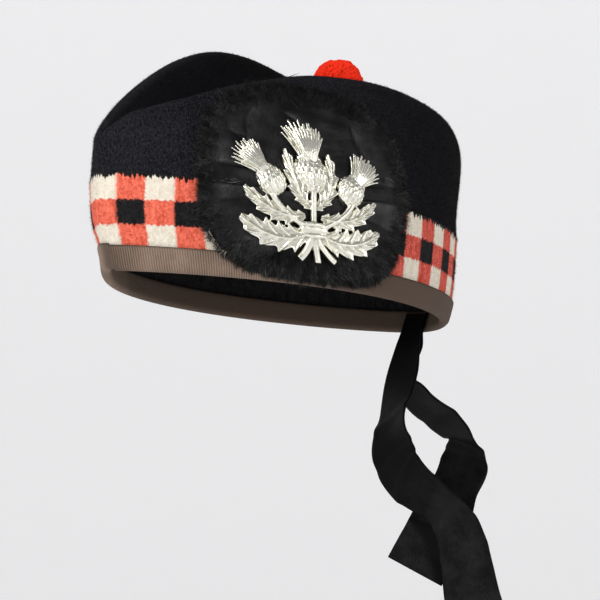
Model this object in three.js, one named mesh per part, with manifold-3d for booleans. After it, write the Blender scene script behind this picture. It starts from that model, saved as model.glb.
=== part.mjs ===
// Glengarry bonnet as worn: millimetres, +Z up, front towards -Y, wearer's left towards +X.
// The origin is the centre of the rim, where a head sits.
import * as THREE from "three";
import { mergeVertices } from "three/addons/utils/BufferGeometryUtils.js";
import Module from "manifold-3d";

const wasm = await Module();
wasm.setup();

// Fit and cloth
const WORN_PITCH_DEG = 6.2;
const SEAM_GAP = 0.3;
const CLOTH = 2.4;
const HALF_COLUMNS = 32;
const ROUND_STEPS = 400;
const RISE_STEPS = 40;
const SPOT_STEP = 2;

// Side wall, a row per level: where its front and back creases are, and how pointed its plan is there
const WALL = [
  { height: 0, front: -98.3, back: 114.2, halfWidth: 73.2, frontPoint: 0.67, backPoint: 0.36 },
  { height: 6, front: -100.0, back: 116.2, halfWidth: 73.8, frontPoint: 0.69, backPoint: 0.37 },
  { height: 12, front: -102.2, back: 117.7, halfWidth: 74.4, frontPoint: 0.7, backPoint: 0.37 },
  { height: 26, front: -109.6, back: 118.8, halfWidth: 75.7, frontPoint: 0.7, backPoint: 0.37 },
  { height: 44, front: -112.9, back: 119.0, halfWidth: 76.0, frontPoint: 0.7, backPoint: 0.37 },
];

// Band and binding
const BAND_INSET = 0.6;
const BAND_FOOT = 3.0;
const BAND_TOP = 43.2;
const BAND_LEVELS = [11, 20, 31];
const BINDING_TOP = 11.9;
const BINDING_LEVEL = 6;
const BINDING_FOOT = 0.5;
const BINDING_CLOTH = 1.0;
const BINDING_ROUND = 0.9;

// Ridges and the fold between them, a row per station from front to back
const RIDGES = [
  { y: -112.9, left: 64.0, right: 64.0, valley: 61.5, leftRound: 2.5, rightRound: 2.5 },
  { y: -106.5, left: 72.5, right: 66.5, valley: 64.0, leftRound: 3.0, rightRound: 4.5 },
  { y: -98.0, left: 77.2, right: 72.0, valley: 67.0, leftRound: 3.5, rightRound: 6.5 },
  { y: -85.0, left: 83.4, right: 82.0, valley: 71.5, leftRound: 4.0, rightRound: 9.5 },
  { y: -71.0, left: 90.0, right: 93.2, valley: 76.0, leftRound: 4.5, rightRound: 12.0 },
  { y: -50.0, left: 97.2, right: 108.9, valley: 82.0, leftRound: 5.0, rightRound: 13.5 },
  { y: -30.0, left: 103.0, right: 121.8, valley: 88.0, leftRound: 6.0, rightRound: 13.5 },
  { y: -8.0, left: 106.5, right: 130.6, valley: 94.5, leftRound: 8.0, rightRound: 12.0 },
  { y: 14.0, left: 108.8, right: 131.8, valley: 99.5, leftRound: 11.0, rightRound: 12.0 },
  { y: 38.0, left: 110.0, right: 125.6, valley: 102.5, leftRound: 21.0, rightRound: 16.0 },
  { y: 62.0, left: 110.0, right: 118.0, valley: 103.5, leftRound: 29.5, rightRound: 24.0 },
  { y: 82.0, left: 109.0, right: 112.0, valley: 103.0, leftRound: 35.5, rightRound: 33.0 },
  { y: 92.0, left: 108.0, right: 108.0, valley: 102.0, leftRound: 38.0, rightRound: 38.0 },
];
const LEFT_RIDGE_HALF = 50;
const RIGHT_RIDGE_HALF = 46;
const VALLEY_FRONT = 1;
const VALLEY_BACK = 76;
const VALLEY_SHIFT = -3;
const WALL_STEPS = 8;
const TOP_STEPS = 6;
const WALL_REACH = 0.36;
const WALL_LEAN = 0.4;
const VALLEY_REACH = 0.4;
const TOP_ROUND_SHARE = 0.45;
// The crown's inner face starts this far behind its front crease and closes there over this angle
const INNER_FRONT = 9;
const INNER_BACK = 2.6;
const INNER_CLOSE = 0.55;
const INNER_CLOSE_BACK = 0.2;
const INNER_ROUND = 1.5;
const INNER_DROP = 5;
const VALLEY_CLOTH = 2.8;

// Rosette on the wearer's left, measured along the wall from its middle
const ROSETTE_ANGLE = 1.21;
const ROSETTE_RISE = 49.5;
const ROSETTE_HALF_WIDTH = 54.5;
const ROSETTE_HALF_HEIGHT = 47.5;
const ROSETTE_SQUARENESS = 3.2;
const ROSETTE_FRONT_TOP_SQUARENESS = 2.3;
const ROSETTE_SKEW = 0.1;
const ROSETTE_SPOKES = 72;
const ROSETTE_RINGS = [0.3, 0.56, 0.76, 0.84, 0.92, 1];
const ROSETTE_CLOTH = 1.8;
const ROSETTE_RIM_RISE = 2.6;
const ROSETTE_DROOP = 1.6;
const ROSETTE_SUNK = 0.9;
const SEAT_DROP = 6;
const LOCK_FROM = 0.78;
const LOCK_FULL = 0.84;
const LOCK_DEPTH = 0.9;
const LOCK_REACH = 1.3;

// Badge of three thistles, in its own flat measure: across, up and out from its back
const BADGE_RISE = 45;
const BADGE_SHIFT = -2.5;
const BADGE_SCALE = 0.96;
const BADGE_GAP = 0.75;
const THISTLES = [
  { across: 0, up: 6, turn: 0, size: 1 },
  { across: -20.5, up: 0.5, turn: 40, size: 0.82 },
  { across: 20.5, up: 0.5, turn: -40, size: 0.82 },
];
const BULB = { across: 9, up: 10, out: 6, columns: 12, rows: 8, scales: 8, tiers: 9, scaleRise: 0.05 };
const FLORET_TURNS = [-40, -20, 0, 20, 40];
const FLORET = { length: 21, spread: 0.85, curl: 0.55, root: 4, rootUp: 5, via: 9, viaUp: 13, tipUp: 7 };
const FLORET_BAR = { root: 2.2, tip: 2.4, out: 1.6, crown: 1.4, steps: 2 };
const LEAVES = [
  { fromX: 2, fromY: -21, viaX: 18, viaY: -30, toX: 36, toY: -17, half: 6.5 },
  { fromX: 4, fromY: -14, viaX: 20, viaY: -18, toX: 34, toY: -3, half: 4.6 },
  { fromX: 1, fromY: -10, viaX: 11, viaY: -4, toX: 11, toY: 17, half: 4.2 },
];
const LEAF_STATIONS = 8;
const LEAF_TOOTH = 0.62;
const LEAF_TAPER = { from: 0.1, span: 0.88, power: 0.7 };
const LEAF_OUT = { back: -0.5, edge: 1.1, rib: 1.4, ribRise: 1.8, ribFrom: 0.15, ribSpan: 0.8 };
const STEM_SIDES = 5;
const STEM = { radius: 1.7, footRadius: 1.9, out: 1.2, rise: 4, into: 6, bow: 0.75, steps: 4 };
const STEM_FOOT = { down: -35, via: -28, bow: 0.1, spread: 0.45, step: 0.06, steps: 2 };
const TIE = { up: -20, half: 7, tall: 6, out: 3.4 };
const BACKING = { side: 200, deep: 20 };

// Toorie
const TOORIE = { x: -3, y: 42, z: 117.4, radius: 12.8 };
const TOORIE_DETAIL = 5;
const TOORIE_LOCKS = 64;
const TOORIE_LOCK_RISE = 1.5;
const TOORIE_LOCK_SHARE = 0.62;

// Tails, a row per fold: measured in mm from the back of the rim in a plane turned from the front
const TAIL_PLANE_DEG = 46.4;
const RIBBON_CLOTH = 0.9;
const TAIL_STEPS = 3;
const TAIL_TUCK = 2;
const TAIL_START_WIDTH = 14;
const TAIL_CUP = 1.3;
const TAIL_LEFT = [
  { side: -2, out: 2, drop: 7, turn: 46, lift: 0, width: 16, cup: 1.2 },
  { side: -5, out: 5, drop: 21, turn: 50, lift: -5, width: 22, cup: 0.8 },
  { side: -11, out: 8, drop: 44, turn: 70, lift: -5, width: 31, cup: 0.5 },
  { side: -11, out: 9, drop: 63, turn: 50, lift: 10, width: 32, cup: 0.5 },
  { side: -5, out: 11, drop: 76, turn: 55, lift: 30, width: 32, cup: 0.5 },
  { side: 10, out: 12, drop: 89, turn: 60, lift: 25, width: 32, cup: 0.5 },
  { side: 21, out: 11, drop: 100, turn: 50, lift: 15, width: 32, cup: 0.5 },
  { side: 30, out: 9, drop: 139, turn: 30, lift: 10, width: 32, cup: 0.5 },
  { side: 34, out: 8, drop: 160, turn: 5, lift: 10, width: 32, cup: 0.5 },
];
const TAIL_RIGHT = [
  { side: -1, out: 0, drop: 7, turn: 46, lift: 0, width: 16, cup: 1.2 },
  { side: -6, out: -2, drop: 22, turn: 60, lift: 5, width: 22, cup: 0.8 },
  { side: 2, out: -4, drop: 35, turn: 75, lift: 20, width: 30, cup: 0.5 },
  { side: 24, out: -7, drop: 55, turn: 85, lift: 25, width: 32, cup: 0.5 },
  { side: 27, out: -9, drop: 68, turn: 45, lift: 0, width: 32, cup: 0.5 },
  { side: 21, out: -10, drop: 84, turn: 45, lift: -15, width: 32, cup: 0.5 },
  { side: 12, out: -9, drop: 104, turn: 20, lift: -35, width: 32, cup: 0.5 },
  { side: 0, out: -7, drop: 126, turn: 5, lift: -30, width: 32, cup: 0.5 },
];

const UP = new THREE.Vector3(0, 0, 1);
const SAME_PLACE = 1e-4;
const SMALL_ANGLE = 1e-3;

// One column of a table at a place, by a smooth curve through its rows.
function reading(table, key, place, column) {
  const last = table.length - 1;
  const at = THREE.MathUtils.clamp(place, table[0][key], table[last][key]);
  let i = 0;
  while (i < last - 1 && at > table[i + 1][key]) i += 1;
  const span = table[i + 1][key] - table[i][key];
  const slope = (k) => {
    const a = Math.max(k - 1, 0);
    const b = Math.min(k + 1, last);
    return (table[b][column] - table[a][column]) / (table[b][key] - table[a][key]);
  };
  const u = (at - table[i][key]) / span;
  const [p, q] = [table[i][column], table[i + 1][column]];
  const [m, n] = [slope(i) * span, slope(i + 1) * span];
  return p + u * (m + u * (3 * (q - p) - 2 * m - n + u * (2 * (p - q) + m + n)));
}

// Width share of a plan at an angle from the front crease (0) round to the back crease (pi).
function widthShare(angle, frontPoint, backPoint) {
  const point = frontPoint + ((backPoint - frontPoint) * (1 - Math.cos(angle))) / 2;
  const sine = Math.sin(angle);
  return (1 - point) * sine + point * sine * Math.abs(sine);
}

// A point of the side wall's plan on the wearer's left, before any offset.
function planPoint(height, angle) {
  const size = (column) => reading(WALL, "height", height, column);
  const middle = (size("front") + size("back")) / 2;
  const half = (size("back") - size("front")) / 2;
  const share = widthShare(angle, size("frontPoint"), size("backPoint"));
  return new THREE.Vector2(size("halfWidth") * share, middle - half * Math.cos(angle));
}

// A point of the side wall, offset outwards in plan. Side is 1 on the wearer's left, -1 on the right.
function wallPoint(height, angle, side, offset) {
  const ahead = planPoint(height, angle + SMALL_ANGLE);
  const behind = planPoint(height, angle - SMALL_ANGLE);
  const along = ahead.sub(behind).normalize();
  const point = planPoint(height, angle);
  const x = point.x + along.y * offset;
  const y = point.y - along.x * offset;
  return new THREE.Vector3(side * x, y, height);
}

// The columns round the bonnet, from the front crease by the left to the back and on by the right.
const COLUMNS = [];
for (let i = 0; i < 2 * HALF_COLUMNS; i += 1) {
  const left = i <= HALF_COLUMNS;
  const step = left ? i : 2 * HALF_COLUMNS - i;
  COLUMNS.push({ angle: (Math.PI * step) / HALF_COLUMNS, side: left ? 1 : -1 });
}

// A closed geometry from vertices and triangles, with vertices at one place joined.
function closedGeometry(points, triangles) {
  const geometry = new THREE.BufferGeometry().setFromPoints(points);
  geometry.setIndex(triangles);
  const merged = mergeVertices(geometry, SAME_PLACE);
  const index = merged.index.array;
  const kept = [];
  for (let i = 0; i < index.length; i += 3) {
    const [a, b, c] = [index[i], index[i + 1], index[i + 2]];
    if (a !== b && b !== c && a !== c) kept.push(a, b, c);
  }
  merged.setIndex(kept);
  return merged;
}

// A geometry as a solid that can be joined and cut.
function solid(geometry) {
  const bare = geometry.clone();
  for (const name of Object.keys(bare.attributes)) {
    if (name !== "position") bare.deleteAttribute(name);
  }
  const merged = mergeVertices(bare, SAME_PLACE);
  const vertProperties = new Float32Array(merged.attributes.position.array);
  const triVerts = new Uint32Array(merged.index.array);
  return new wasm.Manifold(new wasm.Mesh({ numProp: 3, vertProperties, triVerts }));
}

// A solid as a geometry again.
function surface(body) {
  const mesh = body.getMesh();
  const position = new Float32Array(mesh.vertProperties);
  const geometry = new THREE.BufferGeometry();
  geometry.setAttribute("position", new THREE.BufferAttribute(position, mesh.numProp));
  geometry.setIndex(new THREE.BufferAttribute(new Uint32Array(mesh.triVerts), 1));
  return geometry;
}

// Quads between two rows of vertex numbers.
function quads(triangles, rowA, rowB) {
  for (let k = 0; k + 1 < rowA.length; k += 1) {
    triangles.push(rowA[k], rowB[k], rowB[k + 1], rowA[k], rowB[k + 1], rowA[k + 1]);
  }
}

// A solid made of like rings one after another, with flat ends, or closed on itself.
function sweep(rings, closed) {
  const points = rings.flat();
  const size = rings[0].length;
  const triangles = [];
  const numbers = (r) => Array.from({ length: size + 1 }, (_, k) => r * size + (k % size));
  const count = rings.length;
  for (let r = 0; r + 1 < count; r += 1) quads(triangles, numbers(r), numbers(r + 1));
  if (closed) {
    quads(triangles, numbers(count - 1), numbers(0));
  } else {
    for (let k = 1; k + 1 < size; k += 1) {
      const end = (count - 1) * size;
      triangles.push(0, k, k + 1, end, end + k + 1, end + k);
    }
  }
  return closedGeometry(points, triangles);
}

// A ring round the bonnet whose section is a short list of heights and offsets.
function ringRoundBonnet(section) {
  const rings = COLUMNS.map(({ angle, side }) =>
    section.map(({ height, offset }) => wallPoint(height, angle, side, offset)),
  );
  return sweep(rings, true);
}

function diced() {
  const [low, middle, high] = BAND_LEVELS;
  const outer = [BAND_FOOT, low, middle, high, BAND_TOP];
  const inner = [BAND_TOP, middle, low, BAND_FOOT];
  return ringRoundBonnet([
    ...outer.map((height) => ({ height, offset: -BAND_INSET })),
    ...inner.map((height) => ({ height, offset: -BAND_INSET - CLOTH })),
  ]);
}

function bindingEdge() {
  const outFace = SEAM_GAP + BINDING_CLOTH - BAND_INSET;
  const outLeg = SEAM_GAP - BAND_INSET;
  const inLeg = -BAND_INSET - CLOTH - SEAM_GAP;
  const inFace = inLeg - BINDING_CLOTH;
  const web = BAND_FOOT - SEAM_GAP;
  return ringRoundBonnet([
    { height: BINDING_TOP, offset: outLeg },
    { height: web, offset: outLeg },
    { height: web, offset: inLeg },
    { height: BINDING_TOP, offset: inLeg },
    { height: BINDING_TOP, offset: inFace },
    { height: web, offset: inFace },
    { height: BINDING_FOOT, offset: inFace + BINDING_ROUND },
    { height: BINDING_FOOT, offset: outFace - BINDING_ROUND },
    { height: web, offset: outFace },
    { height: BINDING_LEVEL, offset: outFace },
    { height: BINDING_TOP, offset: outFace },
  ]);
}

// The foot, ridge and fold's spine of one column of the crown's outer face, grown by a gap.
function outerStation(angle, side, grow = 0) {
  const front = RIDGES[0].y;
  const back = RIDGES[RIDGES.length - 1].y;
  const { frontPoint, backPoint } = WALL[WALL.length - 1];
  const ridgeHalf = side > 0 ? LEFT_RIDGE_HALF : RIGHT_RIDGE_HALF;
  const plan = (a) =>
    new THREE.Vector3(
      side * ridgeHalf * widthShare(a, frontPoint, backPoint),
      (front + back) / 2 - ((back - front) / 2) * Math.cos(a),
      0,
    );
  const ridge = plan(angle);
  const along = plan(angle + SMALL_ANGLE).sub(plan(angle - SMALL_ANGLE)).normalize();
  const inward = new THREE.Vector3(-along.y * side, along.x * side, 0);
  const name = side > 0 ? "left" : "right";
  ridge.z = reading(RIDGES, "y", ridge.y, name) + grow;
  ridge.addScaledVector(inward, -grow);
  const valleyFront = front + VALLEY_FRONT;
  const valleyY = valleyFront + ((VALLEY_BACK - valleyFront) * (1 - Math.cos(angle))) / 2;
  const valleyZ = reading(RIDGES, "y", valleyY, "valley") + grow;
  const valley = new THREE.Vector3(VALLEY_SHIFT * Math.sin(angle) ** 2, valleyY, valleyZ);
  const foot = wallPoint(BAND_TOP + SEAM_GAP - grow, angle, side, grow - BAND_INSET);
  return { foot, ridge, inward, valley, round: reading(RIDGES, "y", ridge.y, name + "Round") };
}

// The same column a cloth's thickness inside, closed to the middle behind the front crease.
function innerStation(angle, side) {
  const front = RIDGES[0].y;
  const back = RIDGES[RIDGES.length - 1].y;
  const [innerFront, innerBack] = [front + INNER_FRONT, back - INNER_BACK];
  const y = (innerFront + innerBack) / 2 - ((innerBack - innerFront) / 2) * Math.cos(angle);
  const same = Math.acos(THREE.MathUtils.clamp(1 - (2 * (y - front)) / (back - front), -1, 1));
  const outer = outerStation(same, side);
  const wallOut = outer.inward.clone().negate();
  const wallChord = outer.ridge.clone().sub(outer.foot).normalize();
  const wallFace = wallOut.addScaledVector(wallChord, -wallOut.dot(wallChord)).normalize();
  const topChord = outer.valley.clone().sub(outer.ridge).normalize();
  const topFace = UP.clone().addScaledVector(topChord, -topChord.z).normalize();
  const mitre = CLOTH / (1 + wallFace.dot(topFace));
  const ridge = outer.ridge.clone().addScaledVector(wallFace.add(topFace), -mitre);
  const closing = Math.min(1, angle / INNER_CLOSE, (Math.PI - angle) / INNER_CLOSE_BACK);
  const close = Math.sin((Math.PI / 2) * closing);
  const valley = outer.valley.clone().addScaledVector(UP, -VALLEY_CLOTH);
  valley.y = Math.max(valley.y, innerFront);
  ridge.x *= close;
  ridge.z = THREE.MathUtils.lerp(valley.z, ridge.z, close ** 2);
  const foot = wallPoint(BAND_TOP + SEAM_GAP, angle, side, -BAND_INSET - CLOTH);
  return { foot, ridge, inward: outer.inward, valley, round: Math.max(outer.round - CLOTH, INNER_ROUND) };
}

// The wall of one column of the crown, from its lower edge to the ridge.
function crownWall({ foot, ridge, inward, round }) {
  const rise = ridge.clone().sub(foot);
  const lean = UP.clone().lerp(rise.clone().normalize(), WALL_LEAN).normalize();
  const leave = foot.clone().addScaledVector(lean, WALL_REACH * rise.length());
  const arrive = ridge.clone().addScaledVector(inward, -round);
  return new THREE.CubicBezierCurve3(foot, leave, arrive, ridge);
}

// The folded-in top of one column, from the ridge to the spine of the fold.
function crownTop({ ridge, inward, valley, round }) {
  const across = ridge.clone().sub(valley).setZ(0);
  const over = Math.min(round, TOP_ROUND_SHARE * across.length());
  const leave = ridge.clone().addScaledVector(inward, over);
  const arrive = valley.clone().addScaledVector(across, VALLEY_REACH);
  return new THREE.CubicBezierCurve3(ridge, leave, arrive, valley);
}

// One column of the crown from its lower edge over the ridge to the spine of the fold.
function crownColumn(angle, side, inner, grow) {
  const station = inner ? innerStation(angle, side) : outerStation(angle, side, grow);
  const wall = crownWall(station).getPoints(WALL_STEPS);
  return [...wall, ...crownTop(station).getPoints(TOP_STEPS).slice(1)];
}

// The crown's outer or inner face, closed flat across its lower edge.
function crownForm(inner, grow = 0) {
  const points = [];
  const triangles = [];
  const rows = COLUMNS.map(({ angle, side }) => {
    const start = points.length;
    const column = crownColumn(angle, side, inner, grow);
    if (inner) column.unshift(column[0].clone().setZ(BAND_TOP - INNER_DROP));
    points.push(...column);
    return column.map((_, k) => start + k);
  });
  const count = rows.length;
  for (let i = 0; i < count; i += 1) quads(triangles, rows[i], rows[(i + 1) % count]);
  for (let i = 0; i < HALF_COLUMNS; i += 1) {
    const [a, b] = [rows[i][0], rows[i + 1][0]];
    const [c, d] = [rows[count - i - 1][0], rows[(count - i) % count][0]];
    triangles.push(a, c, b, a, d, c);
  }
  return closedGeometry(points, triangles);
}

const crownOuter = solid(crownForm(false));
const crownShell = crownOuter.subtract(solid(crownForm(true)));

// All that the rosette lies on, grown by a gap, so that the rosette can be cut to its seat.
function rosetteSeat() {
  const wrap = (heights, offset, thickness) =>
    solid(
      ringRoundBonnet([
        ...heights.map((height) => ({ height, offset })),
        { height: heights[heights.length - 1], offset: offset - thickness },
        { height: heights[0], offset: offset - thickness },
      ]),
    );
  const hem = SEAM_GAP + BINDING_CLOTH - BAND_INSET + SEAM_GAP;
  const hemHeights = [BINDING_FOOT - SEAT_DROP, BINDING_FOOT, BINDING_LEVEL, BINDING_TOP + SEAM_GAP];
  const bandHeights = [BINDING_TOP, ...BAND_LEVELS.slice(1), BAND_TOP + SEAM_GAP];
  const band = wrap(bandHeights, SEAM_GAP - BAND_INSET, CLOTH);
  const binding = wrap(hemHeights, hem, 2 * CLOTH);
  return solid(crownForm(false, SEAM_GAP)).add(band).add(binding);
}

// How far round the wall an angle is, as a length along the top of the band.
const roundLengths = [0];
for (let i = 1; i <= ROUND_STEPS; i += 1) {
  const [a, b] = [((i - 1) * Math.PI) / ROUND_STEPS, (i * Math.PI) / ROUND_STEPS];
  roundLengths.push(roundLengths[i - 1] + planPoint(BAND_TOP, a).distanceTo(planPoint(BAND_TOP, b)));
}

function angleAtLength(length) {
  let i = 1;
  while (i < ROUND_STEPS && roundLengths[i] < length) i += 1;
  const share = (length - roundLengths[i - 1]) / (roundLengths[i] - roundLengths[i - 1]);
  return ((i - 1 + share) * Math.PI) / ROUND_STEPS;
}

const rosetteLength = roundLengths[Math.round((ROSETTE_ANGLE / Math.PI) * ROUND_STEPS)];

// A point on the left wall, by length round it from the rosette's middle and length up it from the rim.
function sideSpot(across, up) {
  const angle = angleAtLength(rosetteLength + across);
  if (up <= BAND_TOP) return wallPoint(up, angle, 1, -BAND_INSET);
  const wall = crownWall(outerStation(angle, 1));
  wall.arcLengthDivisions = RISE_STEPS;
  return wall.getPointAt(Math.min(1, (up - BAND_TOP) / wall.getLength()));
}

// The same, standing out from the wall.
function sidePoint(across, up, out) {
  const along = sideSpot(across + SPOT_STEP, up).sub(sideSpot(across - SPOT_STEP, up));
  const rise = sideSpot(across, up + SPOT_STEP).sub(sideSpot(across, up - SPOT_STEP));
  const face = along.cross(rise).normalize();
  return sideSpot(across, up).addScaledVector(face, out);
}

// Rosette: the front of a pleated silk patch, by share of its outline
const rosetteFront = (share) => SEAM_GAP + ROSETTE_CLOTH + ROSETTE_RIM_RISE * share ** 2;

function rosettePlace(share, spoke) {
  const turn = (2 * Math.PI * spoke) / ROSETTE_SPOKES;
  const [c, s] = [Math.cos(turn), Math.sin(turn)];
  const n = c < 0 && s > 0 ? ROSETTE_FRONT_TOP_SQUARENESS : ROSETTE_SQUARENESS;
  const reach = share / (Math.abs(c) ** n + Math.abs(s) ** n) ** (1 / n);
  const lock = share === 1 && spoke % 2 ? LOCK_REACH : 0;
  const rise = (ROSETTE_HALF_HEIGHT - lock) * reach * s;
  const across = (ROSETTE_HALF_WIDTH - lock) * reach * c + ROSETTE_SKEW * rise;
  return { across, up: ROSETTE_RISE + rise };
}

// The patch down to a sunk back.
function rosetteBlock() {
  const points = [];
  const triangles = [];
  const ring = (share, out) => {
    const start = points.length;
    for (let k = 0; k < ROSETTE_SPOKES; k += 1) {
      const { across, up } = rosettePlace(share, k);
      points.push(sidePoint(across, up, out(k)));
    }
    return Array.from({ length: ROSETTE_SPOKES + 1 }, (_, k) => start + (k % ROSETTE_SPOKES));
  };
  const rows = ROSETTE_RINGS.map((share) =>
    ring(share, (k) => {
      const border = THREE.MathUtils.smoothstep(share, LOCK_FROM, LOCK_FULL);
      const lock = border * (share < 1) * LOCK_DEPTH * (k % 2 ? -0.5 : 0.5);
      const droop = share === 1 ? ROSETTE_DROOP : 0;
      return rosetteFront(share) + lock - droop;
    }),
  );
  rows.push(...ROSETTE_RINGS.toReversed().map((share) => ring(share, () => -ROSETTE_SUNK)));
  points.push(sidePoint(0, ROSETTE_RISE, rosetteFront(0)));
  points.push(sidePoint(0, ROSETTE_RISE, -ROSETTE_SUNK));
  rows.slice(1).forEach((row, i) => quads(triangles, rows[i], row));
  const [front, back] = [rows[0], rows[rows.length - 1]];
  for (let k = 0; k < ROSETTE_SPOKES; k += 1) {
    triangles.push(points.length - 2, front[k], front[k + 1]);
    triangles.push(points.length - 1, back[k + 1], back[k]);
  }
  return solid(closedGeometry(points, triangles));
}

// A geometry with its faces turned outwards.
function facingOut(geometry) {
  const { array } = geometry.attributes.position;
  const index = Array.from(geometry.index.array);
  const corner = (k) => new THREE.Vector3().fromArray(array, 3 * k);
  let volume = 0;
  for (let i = 0; i < index.length; i += 3) {
    volume += corner(index[i]).dot(corner(index[i + 1]).cross(corner(index[i + 2])));
  }
  if (volume < 0) index.reverse();
  geometry.setIndex(index);
  return geometry;
}

// A leaf with a raised midrib and a toothed edge, flat at its back.
function leaf({ fromX, fromY, viaX, viaY, toX, toY, half }, mirror) {
  const path = new THREE.QuadraticBezierCurve(
    new THREE.Vector2(mirror * fromX, fromY),
    new THREE.Vector2(mirror * viaX, viaY),
    new THREE.Vector2(mirror * toX, toY),
  );
  const rings = [];
  for (let i = 0; i <= LEAF_STATIONS; i += 1) {
    const share = i / LEAF_STATIONS;
    const spot = path.getPoint(share);
    const along = path.getTangent(share);
    const tooth = i % 2 ? 1 : LEAF_TOOTH;
    const taper = Math.sin(Math.PI * (LEAF_TAPER.from + LEAF_TAPER.span * share)) ** LEAF_TAPER.power;
    const wide = half * tooth * taper;
    const swell = Math.sin(Math.PI * (LEAF_OUT.ribFrom + LEAF_OUT.ribSpan * share));
    const spread = (w, out) => new THREE.Vector3(spot.x - along.y * w, spot.y + along.x * w, out);
    rings.push([
      spread(-wide, LEAF_OUT.back),
      spread(wide, LEAF_OUT.back),
      spread(wide, LEAF_OUT.edge),
      spread(0, LEAF_OUT.rib + LEAF_OUT.ribRise * swell),
      spread(-wide, LEAF_OUT.edge),
    ]);
  }
  return facingOut(sweep(rings, false));
}

// A rounded bar from one flat place to another by way of a third.
function stem(from, via, to, radiusFrom, radiusTo, out, steps) {
  const path = new THREE.QuadraticBezierCurve(from, via, to);
  const rings = [];
  for (let i = 0; i <= steps; i += 1) {
    const spot = path.getPoint(i / steps);
    const along = path.getTangent(i / steps);
    const radius = THREE.MathUtils.lerp(radiusFrom, radiusTo, i / steps);
    const ring = [];
    for (let k = 0; k < STEM_SIDES; k += 1) {
      const turn = Math.PI * (0.5 + (2 * k) / STEM_SIDES);
      const w = radius * Math.cos(turn);
      const d = out + radius * Math.sin(turn);
      ring.push(new THREE.Vector3(spot.x - along.y * w, spot.y + along.x * w, d));
    }
    rings.push(ring);
  }
  return facingOut(sweep(rings, false));
}

// A thistle's scaly bulb and its fan of florets.
function thistle({ across, up, turn, size }) {
  const bulb = new THREE.SphereGeometry(1, BULB.columns, BULB.rows);
  bulb.deleteAttribute("normal").deleteAttribute("uv");
  const spots = bulb.attributes.position;
  for (let i = 0; i < spots.count; i += 1) {
    const spot = new THREE.Vector3().fromBufferAttribute(spots, i);
    const round = Math.cos(BULB.scales * Math.atan2(spot.z, spot.x));
    const scale = 1 + BULB.scaleRise * round * Math.cos(BULB.tiers * Math.acos(spot.y));
    spots.setXYZ(i, spot.x * BULB.across * scale, spot.y * BULB.up * scale, spot.z * BULB.out * scale);
  }
  const florets = FLORET_TURNS.map((floret) => {
    const lean = THREE.MathUtils.degToRad(floret);
    const reach = FLORET.length * Math.cos(FLORET.curl * lean);
    const tipX = -FLORET.spread * reach * Math.sin(lean);
    const root = new THREE.Vector2(-FLORET.root * Math.sin(lean), FLORET.rootUp);
    const via = new THREE.Vector2(-FLORET.via * Math.sin(lean), FLORET.viaUp);
    const tip = new THREE.Vector2(tipX, FLORET.tipUp + reach * Math.cos(lean));
    const out = FLORET_BAR.out + FLORET_BAR.crown * Math.cos(2 * lean);
    return solid(stem(root, via, tip, FLORET_BAR.root, FLORET_BAR.tip, out, FLORET_BAR.steps));
  });
  const head = florets.reduce((all, one) => all.add(one), solid(facingOut(mergeVertices(bulb, SAME_PLACE))));
  const turned = new THREE.Matrix4()
    .makeTranslation(across, up, 0)
    .multiply(new THREE.Matrix4().makeRotationZ(THREE.MathUtils.degToRad(turn)))
    .multiply(new THREE.Matrix4().makeScale(size, size, size));
  return solid(surface(head).applyMatrix4(turned));
}

// The whole badge, flat at its back, then laid on the rosette.
function badgeForm() {
  const foot = new THREE.Vector2(0, TIE.up);
  const pieces = THISTLES.map(thistle);
  for (const { across, up } of THISTLES) {
    const via = new THREE.Vector2(STEM.bow * across, TIE.up + STEM.rise);
    const to = new THREE.Vector2(across, up - STEM.into);
    pieces.push(solid(stem(foot, via, to, STEM.radius, STEM.radius, STEM.out, STEM.steps)));
    const endUp = STEM_FOOT.down + STEM_FOOT.step * Math.abs(across);
    const end = new THREE.Vector2(-STEM_FOOT.spread * across, endUp);
    const bend = new THREE.Vector2(-STEM_FOOT.bow * across, STEM_FOOT.via);
    pieces.push(solid(stem(foot, bend, end, STEM.radius, STEM.footRadius, STEM.out, STEM_FOOT.steps)));
  }
  for (const row of LEAVES) pieces.push(solid(leaf(row, 1)), solid(leaf(row, -1)));
  const tie = new THREE.BoxGeometry(2 * TIE.half, TIE.tall, 2 * TIE.out).translate(0, TIE.up, 0);
  pieces.push(solid(tie));
  const cast = pieces.reduce((all, one) => all.add(one));
  const behind = new THREE.BoxGeometry(BACKING.side, BACKING.side, BACKING.deep);
  behind.translate(0, 0, -BACKING.deep / 2);
  const flat = surface(cast.subtract(solid(behind)));
  const spots = flat.attributes.position;
  for (let i = 0; i < spots.count; i += 1) {
    const spot = new THREE.Vector3().fromBufferAttribute(spots, i);
    const across = BADGE_SCALE * spot.x + BADGE_SHIFT;
    const up = BADGE_SCALE * spot.y + BADGE_RISE;
    const rise = up - ROSETTE_RISE;
    const share = Math.hypot(across / ROSETTE_HALF_WIDTH, rise / ROSETTE_HALF_HEIGHT);
    const laid = sidePoint(across, up, rosetteFront(share) + BADGE_GAP + spot.z);
    spots.setXYZ(i, laid.x, laid.y, laid.z);
  }
  return mergeVertices(flat, SAME_PLACE);
}

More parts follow.
